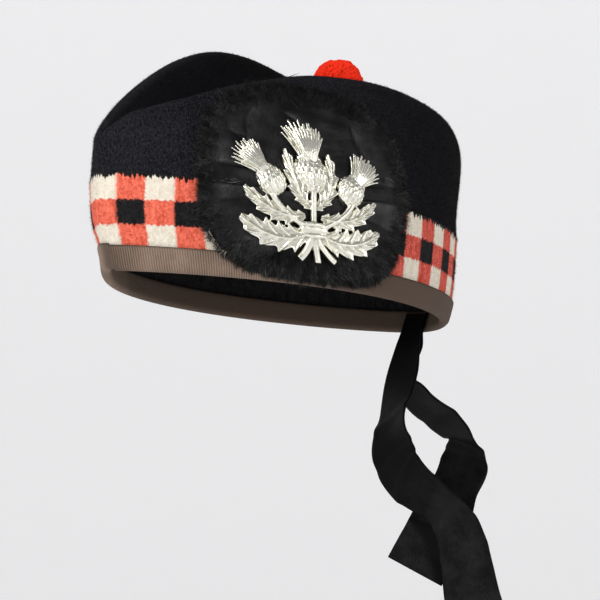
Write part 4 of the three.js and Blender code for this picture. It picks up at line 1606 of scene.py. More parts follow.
@dataclass
class Fringe:
    """The frayed border of the rosette: short fibres, a few pale stray threads and lint."""

    seed: int = 13
    count: int = 42000
    width: float = 0.19
    round: float = 100.0
    ragged: tuple[Swell, ...] = (Swell(0.014, 17.0, 51), Swell(0.012, 6.0, 52))
    crowd: float = 0.7
    stand: float = 26.0
    stand_swell: Swell = Swell(12.0, 9.0, 53)
    stand_spread: float = 12.0
    stand_range: Pair = (4.0, 70.0)
    swing_swell: Swell = Swell(0.6, 8.0, 54)
    swing: float = 0.5
    swing_less: float = 0.25
    reach: float = 1.02
    reach_swell: Swell = Swell(0.022, 5.0, 55)
    room: float = 50.0
    length: Pair = (1.5, 3.3)
    longer: float = 0.6
    least: float = 0.9
    flat: float = 0.3
    root: float = 1.3
    fall: float = 0.25
    bend: float = 0.5
    bend_less: float = 0.3
    mottle: Swell = Swell(0.75, 7.0, 56)
    mottle_range: Pair = (0.15, 2.2)
    deep: float = 0.007
    pale: float = 0.100
    rarity: float = 4.0
    # Painted shade on the upper fringe, and painted light on its front.
    shade_above: float = 0.58
    lit_ahead: float = 0.25
    hue: Colour = (1.0, 0.99, 0.96)
    stray_count: int = 30
    stray_turns: Pair = (213.0, 227.0)
    stray_share: float = 0.97
    stray_length: Pair = (2.0, 4.2)
    stray_colour: Colour = (0.58, 0.51, 0.41)
    stray_width: float = 0.28
    lint_count: int = 26
    lint_spots: tuple[Pair, ...] = ((-43.0, -6.0), (40.0, 5.5), (-41.0, -7.2))
    lint_spread: Pair = (2.6, 0.5)
    lint_length: Pair = (1.5, 4.0)
    lint_grey: float = 0.30
    lint_width: float = 0.16
    thread_steps: int = 4

    def build(self, edge: Callable[[Array], Array]) -> Piece:
        """Makes the fibres.

        Args:
            edge: Gives the share of the outline where the silk frays, by turn.

        Returns:
            The piece.
        """
        draw = np.random.default_rng(self.seed)
        count = self.count
        turn = draw.uniform(0, 2 * np.pi, count)
        c, s = np.cos(turn), np.sin(turn)
        rim = np.stack([c, s, np.zeros(count)], -1) * self.round
        inner = edge(turn) + swell(rim, self.ragged)
        share = inner + (1 - inner) * draw.random(count) ** self.crowd
        below = smooth(0.0, 0.8, -s)
        across, up = ROSETTE.place(share, turn)
        to_across, to_up = ROSETTE.place(share + 0.1, turn)
        along, rise, face = SIDE.axes(across, up)
        outward = unit(along * (to_across - across)[:, None] + rise * (to_up - up)[:, None])
        tuft = rim * (0.7 + 0.3 * share[:, None])
        stand = self.stand + self.stand_swell.over(tuft)
        stand = stand + draw.normal(size=count) * self.stand_spread
        stand = np.radians(np.clip(stand, *self.stand_range))
        swing = draw.normal(size=count) * (self.swing - self.swing_less * below)
        swing = self.swing_swell.over(tuft) + swing
        line = outward * np.cos(stand)[:, None] + face * np.sin(stand)[:, None]
        line = unit(line + np.cross(face, outward) * swing[:, None])
        reach = self.reach + self.reach_swell.over(rim)
        room = np.maximum(reach - share, 0.0) * self.room
        length = draw.uniform(*self.length, count) * (1 + self.longer * below)
        length = np.minimum(length, self.least + room / np.maximum(np.cos(stand), self.flat))
        root = SIDE.point(across, up, ROSETTE.front(share) - self.root - ROSETTE.fall(share))
        loose = (self.bend - self.bend_less * below)[:, None]
        bend = (draw.normal(size=(count, 3)) * loose - face * self.fall) * length[:, None]
        mottle = np.clip(1 + self.mottle.over(tuft), *self.mottle_range)
        # Painted shade on the upper fringe, and painted light on its front.
        dark = self.shade_above * smooth(0.2, 0.9, s) - self.lit_ahead * smooth(0.3, 0.9, -c)
        grey = self.deep + self.pale * draw.random(count) ** self.rarity
        grey = grey * mottle * (1 - dark)
        tint = grey[:, None, None] * np.array(self.hue)
        border = Draft()
        border.strips(FORM.worn(ribbons(root, line, bend, length, self.width, 3, draw)), tint)
        border.strips(*self.strays(draw))
        border.strips(*self.lint(draw))
        piece = border.mesh_object("rosette_fringe", joined=False)
        return dress(piece, Fibre("frayed_silk", roughness=0.6, shine=0.12).make(), "silk")

    def strays(self, draw: Draws) -> Arrays:
        """Pale stray threads at the lower front corner.

        Args:
            draw: Source of the draws.

        Returns:
            Strips and their colours.
        """
        count = self.stray_count
        turn = np.radians(draw.uniform(*self.stray_turns, count))
        across, up = ROSETTE.place(np.full(count, self.stray_share), turn)
        along, rise, face = SIDE.axes(across, up)
        ahead, upward = draw.uniform(0.2, 1.0, (count, 1)), draw.uniform(-1.0, 0.5, (count, 1))
        line = unit(rise * upward - along * ahead + face * 0.5)
        length = draw.uniform(*self.stray_length, count)
        root = SIDE.point(across, up, ROSETTE.front(self.stray_share) - 0.4)
        bend = (draw.normal(size=(count, 3)) * 0.25 - face * 0.3) * length[:, None]
        tint = np.array(self.stray_colour) * draw.uniform(0.5, 1.1, (count, 1, 1))
        strips = ribbons(root, line, bend, length, self.stray_width, self.thread_steps, draw)
        return FORM.worn(strips), tint

    def lint(self, draw: Draws) -> Arrays:
        """Pale lint along the ends of the folds.

        Args:
            draw: Source of the draws.

        Returns:
            Strips and their colours.
        """
        count = self.lint_count
        spots = np.array(self.lint_spots)[np.arange(count) % len(self.lint_spots)]
        across, rise = (spots + draw.normal(size=(count, 2)) * self.lint_spread).T
        up = ROSETTE.rise + rise
        along, upward, face = SIDE.axes(across, up)
        line = unit(along + upward * draw.normal(size=(count, 1)) * 0.3 + face * 0.12)
        length = draw.uniform(*self.lint_length, count)
        root = SIDE.point(across, up, ROSETTE.front(ROSETTE.share(across, rise)) + 1.2)
        bend = (upward * draw.normal(size=(count, 1)) * 0.3 - face * 0.2) * length[:, None]
        tint = self.lint_grey * draw.uniform(0.3, 1.0, (count, 1, 1))
        return FORM.worn(ribbons(root, line, bend, length, self.lint_width, self.thread_steps, draw)), tint


@dataclass
class Rosette:
    """The silk patch with its folds, and the frayed border round it."""

    silk: Silk = Silk("rosette_silk", dusty_and_lit=(0.075, 0.075, 0.076), roughness=0.30, shine=0.15, wrinkle=7.0)
    spokes: int = 320
    rings: int = 70
    pole: float = 0.004
    first_ring: float = 0.02
    back_shares: tuple[float, ...] = (1.0, 0.98, 0.5, 0.004)
    back_lifts: tuple[float, ...] = (1.15, 0.75, 0.75, 0.75)
    back_dust: float = 0.2
    cut_share: float = 0.95
    border: float = 0.86
    deep_above: float = 0.135
    deep_below: float = 0.185
    border_behind: float = 0.04
    arch: float = 1.6
    border_blend: Pair = (-0.11, 0.02)
    border_sink: float = 0.9
    puff: tuple[Swell, ...] = (Swell(0.55, 26.0, 21), Swell(0.14, 9.0, 22))
    fold_start: Pair = (-0.12, 0.15)
    fold_end: Pair = (0.85, 1.12)
    groove: float = 0.7
    groove_reach: float = 1.1
    lip: float = 0.5
    lip_round: float = 0.7
    pale: float = 0.15
    # Painted light towards the front and back of the patch, and painted highlights and shade on the folds.
    lit_front: float = 0.13
    front: Pair = (20.0, -50.0)
    lit_behind: float = 0.10
    behind: Pair = (20.0, 45.0)
    fold_light_and_shade: float = 0.8
    pale_least: float = 0.02
    clouds: tuple[Swell, ...] = (Swell(0.17, 26.0, 61), Swell(0.12, 10.0, 62))
    folds: tuple[FoldRow, ...] = (
        FoldRow(-50, 2.6, 12, 0.2, -0.6, 1.3, 3.5),
        FoldRow(4, 0.6, 50, 3.2, -0.5, 1.2, 3.5),
        FoldRow(-50, -7.6, 50, -5.6, -0.5, -1.3, 3.5),
        FoldRow(-16, -2.8, -3, -3.3, 0.2, 0.7, 2.0),
        FoldRow(7, -3.6, 19, -5.4, 0.2, 0.7, 2.0),
        FoldRow(-7, 31, 4.2, 13, 2.6, 1.0, 4.0),
        FoldRow(-38, 19.5, -30, 16.2, -0.6, 0.9, 3.0),
        FoldRow(27.5, 30, 29.5, 15, -1.5, 0.8, 5.0),
        FoldRow(-36, -29.2, -22, -31.8, 0.8, -0.9, 4.0),
        FoldRow(18, -34, 31, -39.5, -0.6, -0.9, 4.0),
        FoldRow(33, -31, 43, -31.5, 0.4, -0.7, 3.0),
        FoldRow(-22, 33, -29, 8, -3.0, 0.6, 6.0),
        FoldRow(-46, -15, -24, -12, 0.8, 0.6, 4.0),
        FoldRow(26, -15, 46, -18, -0.8, 0.7, 5.0),
    )

    def fringe_edge(self, turn: Array) -> Array:
        """Share of the outline where the silk frays: near the rim at the sides, deeper above and below."""
        deep = np.where(turn < np.pi, self.deep_above, self.deep_below) * np.abs(np.sin(turn)) ** self.arch
        return self.border - deep - self.border_behind * np.maximum(0, np.cos(turn))

    def fold_rise(self, across: Array, rise: Array) -> Array:
        """How far the folds lift the silk.

        Args:
            across: Lengths along the wall from the middle.
            rise: Lengths up it from the middle.

        Returns:
            Heights of the folds, below 0 in their grooves.
        """
        total = np.zeros_like(across)
        for row in self.folds:
            run = np.array([row.to_across - row.from_across, row.to_up - row.from_up])
            length = float(np.hypot(*run))
            c, s = run / length
            x, y = across - row.from_across, rise - row.from_up
            t = (x * c + y * s) / length
            held = np.clip(t, 0, 1)
            d = (y * c - x * s - row.bow * 4 * held * (1 - held)) * math.copysign(1, row.step)
            ends = smooth(*self.fold_start, t) * (1 - smooth(*self.fold_end, t))
            above = np.exp(-np.maximum(d, 0) / row.spread)
            below = -self.groove * np.exp(np.minimum(d, 0) / self.groove_reach)
            edge = np.clip(np.abs(d) / self.lip, 0, 1) ** self.lip_round
            total += abs(row.step) * ends * np.where(d > 0, above, below) * edge
        return total

    def silk_front(self, share: Array, turn: Array) -> Arrays:
        """The silk's front, with painted highlights along the lips of its folds, painted shade in their
        grooves, and painted light towards its front and back.

        Args:
            share: Shares of the outline.
            turn: Turns round the middle.

        Returns:
            Points, and a grey for each of them.
        """
        across, up = ROSETTE.place(share, turn)
        rise = up - ROSETTE.rise
        inner = 1 - smooth(*self.border_blend, share - self.fringe_edge(turn))
        flat = np.stack([across, rise, np.zeros_like(across)], -1)
        folds = self.fold_rise(across, rise)
        out = ROSETTE.front(share) + inner * (folds + swell(flat, self.puff)) - self.border_sink * (1 - inner)
        # Painted light: lighter towards the front and back, painted highlights on the lips of the folds and
        # painted shade in their grooves.
        pale = self.pale + self.lit_front * smooth(*self.front, across) + swell(flat, self.clouds)
        pale = pale + self.lit_behind * smooth(*self.behind, across) + self.fold_light_and_shade * folds
        tone_and_painted_light = np.clip(pale, self.pale_least, 1.0)[..., None] * np.ones(3)
        return SIDE.point(across, up, out - ROSETTE.fall(share)), tone_and_painted_light

    def build(self) -> None:
        """Makes the silk and its fringe."""
        turn = np.arange(self.spokes) * 2 * np.pi / self.spokes
        share = np.concatenate([[self.pole], np.linspace(self.first_ring, 1, self.rings)])
        front, tone_and_painted_light = self.silk_front(*np.meshgrid(share, turn, indexing="ij"))
        across, up = ROSETTE.place(*np.meshgrid(np.array(self.back_shares), turn, indexing="ij"))
        back = SIDE.point(across, up, np.array(self.back_lifts)[:, None])
        patch = Draft()
        patch.grid(FORM.worn(np.concatenate([front, back])),
                   tint=np.concatenate([tone_and_painted_light, np.full(back.shape, self.back_dust)]))
        piece = patch.mesh_object("rosette_silk")
        with editing(piece):
            bpy.ops.mesh.fill_holes(sides=0)
            bpy.ops.mesh.select_all(action="SELECT")
            bpy.ops.mesh.normals_make_consistent(inside=False)
        dress(piece, self.silk.make(), "silk", "rosette")
        Fringe().build(self.fringe_edge)


@dataclass
class Badge:
    """A cast spray of three thistles, modelled flat and then laid on the rosette."""

    lift: float = 45.0
    shift: float = -2.5
    scale: float = 0.96
    gap: float = 0.75
    voxel: float = 0.27
    most_faces: int = 185000
    thistles: tuple[ThistleRow, ...] = (
        ThistleRow(0, 6, 0, 1), ThistleRow(-20.5, 0.5, 40, 0.82), ThistleRow(20.5, 0.5, -40, 0.82),
    )
    bulb: Triple = (8.2, 9.4, 5.4)
    florets: tuple[FloretRow, ...] = (
        FloretRow(11, 44, 20.5, 1.2), FloretRow(10, 36, 19.0, 3.4), FloretRow(7, 24, 16.0, 4.9),
    )
    floret_radii: Pair = (0.9, 0.5)
    floret_short: float = 0.93
    collar: float = 1.15
    scale_radii: Pair = (1.35, 0.35)
    scale_length: float = 2.9
    scale_rings: int = 6
    scale_first: float = -0.78
    scale_step: float = 0.27
    scales_round: int = 9
    scale_tilt: float = 0.28
    leaves: tuple[LeafRow, ...] = (
        LeafRow(2, -21, 18, -30, 36, -17, 6.5),
        LeafRow(4, -14, 20, -18, 34, -3, 4.6),
        LeafRow(1, -10, 11, -4, 11, 17, 4.2),
    )
    leaf_steps: tuple[int, int] = (96, 28)
    leaf_cloth: float = 1.5
    lobes: float = 5.0
    rib: float = 0.13
    vein: float = 0.15
    stem: float = 1.6
    stem_end: float = 1.9
    stem_level: float = 1.4
    stem_foot: float = -35.0
    tie_up: float = -20.0
    tie_size: Triple = (13.0, 3.2, 3.6)
    tie_bevel: float = 0.9
    bead_up: float = 2.3
    bead_side: float = 6.8
    parts: list[Piece] = field(default_factory=list)

    def keep(self, name: str) -> Piece:
        """Names the object just made and keeps it for the casting.

        Args:
            name: Its name.

        Returns:
            The object.
        """
        made = bpy.context.view_layer.objects.active
        made.name = name
        self.parts.append(made)
        return made

    def bar(self, name: str, points: Sequence[Triple], radii: Sequence[float]) -> None:
        """A round bar along a curve.

        Args:
            name: Name of the bar.
            points: Start, bend and end.
            radii: Radius at the start and at the end.
        """
        bpy.ops.curve.primitive_bezier_curve_add(radius=1.0)
        curve = bpy.context.view_layer.objects.active
        start, via, end = (Vector(p) for p in points)
        for knot, place, size in zip(curve.data.splines[0].bezier_points, (start, end), radii):
            knot.handle_left_type = knot.handle_right_type = "FREE"
            knot.co, knot.radius = place, size
            near = place.lerp(via, 0.6)
            far = place * 2 - near
            knot.handle_left, knot.handle_right = (far, near) if place == start else (near, far)
        curve.data.bevel_depth, curve.data.bevel_resolution = 1.0, 2
        curve.data.resolution_u, curve.data.use_fill_caps = 8, True
        bpy.ops.object.convert(target="MESH")
        self.keep(name)

    def flower(self, row: ThistleRow) -> None:
        """One thistle: a scaly bulb under a fan of florets.

        Args:
            row: Its place, turn and size.
        """
        turn = math.radians(row.turn)
        c, s = math.cos(turn), math.sin(turn)

        def at(x: float, y: float, z: float) -> Triple:
            """A place of the flower in the flat badge."""
            x, y, z = x * row.size, y * row.size, z * row.size
            return row.across + c * x - s * y, row.up + s * x + c * y, z

        middle = at(0, 0, 0)
        bpy.ops.mesh.primitive_uv_sphere_add(segments=32, ring_count=20, radius=row.size, location=middle)
        with editing(self.keep("bulb")):
            bpy.ops.transform.resize(value=self.bulb, center_override=middle)
            bpy.ops.transform.rotate(value=-turn, orient_axis="Z", center_override=middle)
        self.scales(at)
        radii = [r * row.size for r in self.floret_radii]
        for layer, fan in enumerate(self.florets):
            for k in range(fan.count):
                lean = math.radians(fan.spread * (2 * k / (fan.count - 1) - 1))
                reach = fan.length * math.cos(0.55 * lean) * (1.0 if (k + layer) % 2 else self.floret_short)
                root = at(4.2 * math.sin(lean), 5.0, fan.out * 0.8)
                via = at(8.4 * math.sin(lean), 13.0, fan.out + 0.6)
                tip = at(0.88 * reach * math.sin(lean), 7.0 + reach * math.cos(lean), fan.out * 0.75)
                self.bar("floret", (root, via, tip), radii)
        collar = (at(-5.6, 6.6, 1.2), at(0, 9.8, 6.2), at(5.6, 6.6, 1.2))
        self.bar("collar", collar, [self.collar * row.size] * 2)

    def scales(self, at: Callable[[float, float, float], Triple]) -> None:
        """The overlapping scales of a bulb: one is modelled, and copies lie in rings over its front.

        Args:
            at: Turns a place of the flower into one of the badge.
        """
        foot, tip = self.scale_radii
        bpy.ops.mesh.primitive_cone_add(vertices=10, radius1=foot, radius2=tip, depth=self.scale_length)
        one = bpy.context.view_layer.objects.active
        with editing(one):
            bpy.ops.transform.resize(value=(1.0, 0.5, 1.0))
        shape = np.array([v.co[:] for v in one.data.vertices])
        bulb = np.array(self.bulb)
        for ring in range(self.scale_rings):
            level = self.scale_first + self.scale_step * ring
            wide = math.sqrt(1 - level * level)
            count = max(4, round(self.scales_round * wide))
            for k in range(count):
                swing = math.pi * ((k + 0.5 * (ring % 2) + 0.25) / count)
                spot = np.array([math.cos(swing) * wide, level, math.sin(swing) * wide])
                out = unit(spot / bulb)
                along = unit(np.array([0.0, 1.0, 0.0]) - out * out[1] + out * self.scale_tilt)
                side = unit(np.cross(along, out))
                moved = shape @ np.stack([side, np.cross(side, along), along]) + spot * bulb
                copy = one.copy()
                copy.data = one.data.copy()
                bpy.context.collection.objects.link(copy)
                placed = np.array([at(*p) for p in moved], dtype=np.float32)
                copy.data.vertices.foreach_set("co", placed.ravel())
                bpy.context.view_layer.objects.active = copy
                self.keep("scale")
        bpy.data.objects.remove(one)

    def leaf(self, row: LeafRow, mirror: float) -> None:
        """A toothed leaf with a raised midrib and side veins, from a grid moved into shape.

        Args:
            row: Its line and width.
            mirror: 1, or -1 for its twin.
        """
        along, across = self.leaf_steps
        bpy.ops.mesh.primitive_grid_add(x_subdivisions=along, y_subdivisions=across, size=2.0)
        made = self.keep("leaf")
        flat = np.array([v.co[:] for v in made.data.vertices])
        t, w = (flat[:, :1] + 1) / 2, flat[:, 1]
        a, b, c = np.array([(row.from_x, row.from_y), (row.via_x, row.via_y), (row.to_x, row.to_y)])
        spot = (1 - t) ** 2 * a + 2 * (t * (1 - t)) * b + t ** 2 * c
        tangent = unit(2 * (1 - t) * (b - a) + 2 * t * (c - b))
        t, side = t[:, 0], np.abs(w)
        beat = np.mod(t * self.lobes - side * 0.6, 1.0)
        body = np.sin(np.pi * (0.06 + 0.9 * t)) ** 0.6
        wide = row.half * (0.68 + 0.46 * beat ** 1.3) * body
        vein = np.mod(t * self.lobes - side * 1.25 + 0.15, 1.0) - 0.5
        vein = np.exp(-(vein / self.vein) ** 2) * smooth(0.04, 0.3, side)
        rib = np.exp(-(w / self.rib) ** 2)
        out = 0.75 + 1.5 * body * (1 - 0.6 * side ** 1.6) + 1.2 * rib + 0.85 * vein
        place = spot + np.stack([-tangent[:, 1], tangent[:, 0]], -1) * (w * wide)[:, None]
        moved = np.column_stack([place[:, 0] * mirror, place[:, 1], np.maximum(out, 0.7)])
        made.data.vertices.foreach_set("co", moved.astype(np.float32).ravel())
        with editing(made):
            bpy.ops.mesh.extrude_region_move(TRANSFORM_OT_translate={"value": (0.0, 0.0, -self.leaf_cloth)})
            bpy.ops.mesh.select_all(action="SELECT")
            bpy.ops.mesh.normals_make_consistent(inside=False)

    def tie(self) -> None:
        """A wound tie over the stems, with a bevelled band between two beads."""
        middle = (0.0, self.tie_up, self.stem_level)
        bpy.ops.mesh.primitive_cube_add(size=1.0, location=middle)
        with editing(self.keep("tie")):
            bpy.ops.transform.resize(value=self.tie_size, center_override=middle)
            bpy.ops.mesh.bevel(offset=self.tie_bevel, segments=3)
        for up in (-self.bead_up, self.bead_up):
            left, right = ((side, self.tie_up + up, 1.0) for side in (-self.bead_side, self.bead_side))
            self.bar("tie_bead", (left, (0.0, self.tie_up + up * 1.15, 5.2), right), (1.0, 1.0))

    def stems(self) -> None:
        """Stems from the tie to the flowers, and their cut ends below it."""
        start = (0.0, self.tie_up, self.stem_level)
        for row in self.thistles:
            via = (0.75 * row.across, self.tie_up + 4, self.stem)
            self.bar("stem", (start, via, (row.across, row.up - 6, self.stem)), (self.stem, self.stem))
            via = (-0.1 * row.across, -28.0, self.stem_level)
            end = (-0.45 * row.across, self.stem_foot + 0.06 * abs(row.across), self.stem_level)
            self.bar("stem_end", (start, via, end), (self.stem, self.stem_end))

    def cast(self) -> Piece:
        """Joins the parts and fuses them as one casting.

        Returns:
            The casting.
        """
        bpy.ops.object.select_all(action="DESELECT")
        for part in self.parts:
            part.select_set(True)
        bpy.context.view_layer.objects.active = self.parts[0]
        bpy.ops.object.transform_apply(location=True, rotation=True, scale=True)
        bpy.ops.object.join()
        whole = bpy.context.view_layer.objects.active
        whole.name = whole.data.name = "badge_cast"
        fuse = whole.modifiers.new("fuse", "REMESH")
        fuse.mode, fuse.voxel_size, fuse.use_smooth_shade = "VOXEL", self.voxel, True
        bpy.ops.object.modifier_apply(modifier="fuse")
        with editing(whole):
            bpy.ops.mesh.bisect(plane_co=(0, 0, 0), plane_no=(0, 0, 1), clear_inner=True, use_fill=True)
        soften = whole.modifiers.new("soften", "SMOOTH")
        soften.factor, soften.iterations = 0.35, 2
        bpy.ops.object.modifier_apply(modifier="soften")
        thin = whole.modifiers.new("thin", "DECIMATE")
        thin.ratio = min(1.0, self.most_faces / sum(len(p.vertices) - 2 for p in whole.data.polygons))
        bpy.ops.object.modifier_apply(modifier="thin")
        return whole

    @staticmethod
    def hollows(mesh: Mesh, points: Array) -> Array:
        """How open each point of the casting is.

        Args:
            mesh: The casting.
            points: Its points.

        Returns:
            Shares from 0 in a hollow to 1 on an edge.
        """
        count = len(points)
        normals, edges = np.empty(count * 3, np.float32), np.empty(len(mesh.edges) * 2, np.int32)
        mesh.vertices.foreach_get("normal", normals)
        mesh.edges.foreach_get("vertices", edges)
        a, b = edges.reshape(-1, 2).T
        near = np.maximum(np.bincount(edges, minlength=count), 1)

        def spread(values: Array, times: int) -> Array:
            """Mean of the neighbours' values, taken several times over."""
            for _ in range(times):
                total = np.zeros_like(values)
                np.add.at(total, a, values[b])
                np.add.at(total, b, values[a])
                values = total / near[:, None]
            return values

        bend = ((points - spread(points, 5)) * normals.reshape(-1, 3)).sum(-1, keepdims=True)
        return np.clip(0.55 + spread(bend, 2)[:, 0] / 0.5, 0, 1)

    def build(self) -> None:
        """Models the badge and lays it on the rosette."""
        for row in self.thistles:
            self.flower(row)
        self.stems()
        for row in self.leaves:
            self.leaf(row, 1.0)
            self.leaf(row, -1.0)
        self.tie()
        whole = self.cast()
        mesh = whole.data
        flat = np.empty(len(mesh.vertices) * 3, np.float32)
        mesh.vertices.foreach_get("co", flat)
        flat = flat.reshape(-1, 3).astype(float)
        openness = self.hollows(mesh, flat)
        openness = np.clip(openness - 0.3 * (1 - smooth(0.2, 1.5, flat[:, 2])), 0, 1)
        across, up = self.scale * flat[:, 0] + self.shift, self.scale * flat[:, 1] + self.lift
        front = ROSETTE.front(ROSETTE.share(across, up - ROSETTE.rise))
        laid = FORM.worn(SIDE.point(across, up, front + self.gap + flat[:, 2]))
        mesh.vertices.foreach_set("co", laid.astype(np.float32).ravel())
        tinted(mesh, openness[:, None] * np.ones(3))
        mesh.update()
        dress(whole, WhiteMetal().make(), "white_metal", "badge")


@dataclass
class Toorie:
    """The red wool pompom: a round core under many small curls of yarn."""

    centre: Triple = (-3.0, 42.0, 117.4)
    radius: float = 12.8
    seed: int = 17
    curls: int = 3400
    curl_steps: int = 6
    curl_sides: int = 5
    curl_size: Pair = (0.55, 1.0)
    curl_turn: Pair = (1.1, 1.7)
    curl_tall: float = 1.15
    curl_pitch: float = 0.9
    lowest: float = -0.62
    yarn: float = 0.40
    yarn_spread: Pair = (0.75, 1.25)
    sunk: float = 0.5
    lumps: tuple[Swell, ...] = (Swell(0.05, 11.0, 31), Swell(0.03, 4.5, 32))
    fuller: float = 1.2
    full_side: Triple = (-0.12, -0.12, 0.98)
    red: Colour = (1.0, 0.046, 0.018)
    red_spread: Pair = (0.95, 1.08)
    red_along: Pair = (0.95, 1.05)
    core_red: Colour = (0.95, 0.036, 0.014)
    core_inset: float = 0.9
    core_rings: int = 24
    core_spokes: int = 48

    def directions(self, draw: Draws) -> Array:
        """Even directions for the curls, a little shaken, but none from underneath.

        Args:
            draw: Source of the draws.

        Returns:
            Directions, n x 3.
        """
        level = 1 - 2 * (np.arange(self.curls) + 0.5) / self.curls
        ring = np.sqrt(1 - level ** 2)
        turn = np.arange(self.curls) * np.pi * (3 - math.sqrt(5))
        out = np.stack([ring * np.cos(turn), ring * np.sin(turn), level], -1)
        out = unit(out + draw.normal(size=out.shape) * 0.02)
        return out[out[:, 2] > self.lowest]

    def build(self) -> None:
        """Makes the core and its curls as one piece."""
        draw = np.random.default_rng(self.seed)
        steps = self.curl_steps
        out = self.directions(draw)
        count = len(out)
        side = unit(np.cross(out, draw.normal(size=out.shape)))
        other = np.cross(out, side)
        fuller = self.fuller * smooth(-0.1, 0.9, out @ unit(np.array(self.full_side)))
        lift = self.radius * (1 + swell(out * 10, self.lumps)) - self.sunk + fuller
        base = np.array(self.centre) + out * lift[:, None]
        loop = draw.uniform(*self.curl_size, (count, 1, 1))
        t = np.linspace(0, 1, steps)[None, :, None] * np.pi * draw.uniform(*self.curl_turn, (count, 1, 1))
        line = base[:, None] + side[:, None] * np.cos(t) * loop
        line = line + other[:, None] * (t / np.pi - 0.7) * self.curl_pitch
        line = line + out[:, None] * np.sin(t) * loop * self.curl_tall
        ahead = unit(np.gradient(line, axis=1))
        across = unit(np.cross(ahead, other[:, None] + 0.01))
        over = np.cross(ahead, across)
        swing = (np.arange(self.curl_sides) * 2 * np.pi / self.curl_sides)[:, None]
        taper = np.minimum(1, 2 * np.sin(np.pi * np.linspace(0, 1, steps)))[:, None, None]
        thick = self.yarn * draw.uniform(*self.yarn_spread, (count, 1, 1, 1)) * taper
        ring = across[:, :, None] * np.cos(swing) + over[:, :, None] * np.sin(swing)
        tube = line[:, :, None] + ring * thick
        shade = draw.uniform(*self.red_spread, (count, 1, 1, 1))
        shade = shade * np.linspace(*self.red_along, steps)[:, None, None]
        yarn = Draft()
        for curl, colour in zip(FORM.worn(tube), np.array(self.red) * shade):
            yarn.grid(curl, tint=colour)
        self.core(yarn)
        dress(yarn.mesh_object("toorie_wool"), CurledWool().make(), "wool", "toorie")

    def core(self, yarn: Draft) -> None:
        """Adds the core that shows between the curls.

        Args:
            yarn: The draft of the curls.
        """
        turns = np.arange(self.core_spokes) * 2 * np.pi / self.core_spokes
        lean, turn = np.meshgrid(np.linspace(0, np.pi, self.core_rings + 1), turns, indexing="ij")
        out = np.stack([np.sin(lean) * np.cos(turn), np.sin(lean) * np.sin(turn), np.cos(lean)], -1)
        ball = np.array(self.centre) + out * (self.radius - self.core_inset)
        yarn.grid(FORM.worn(ball), flip=True, tint=self.core_red)


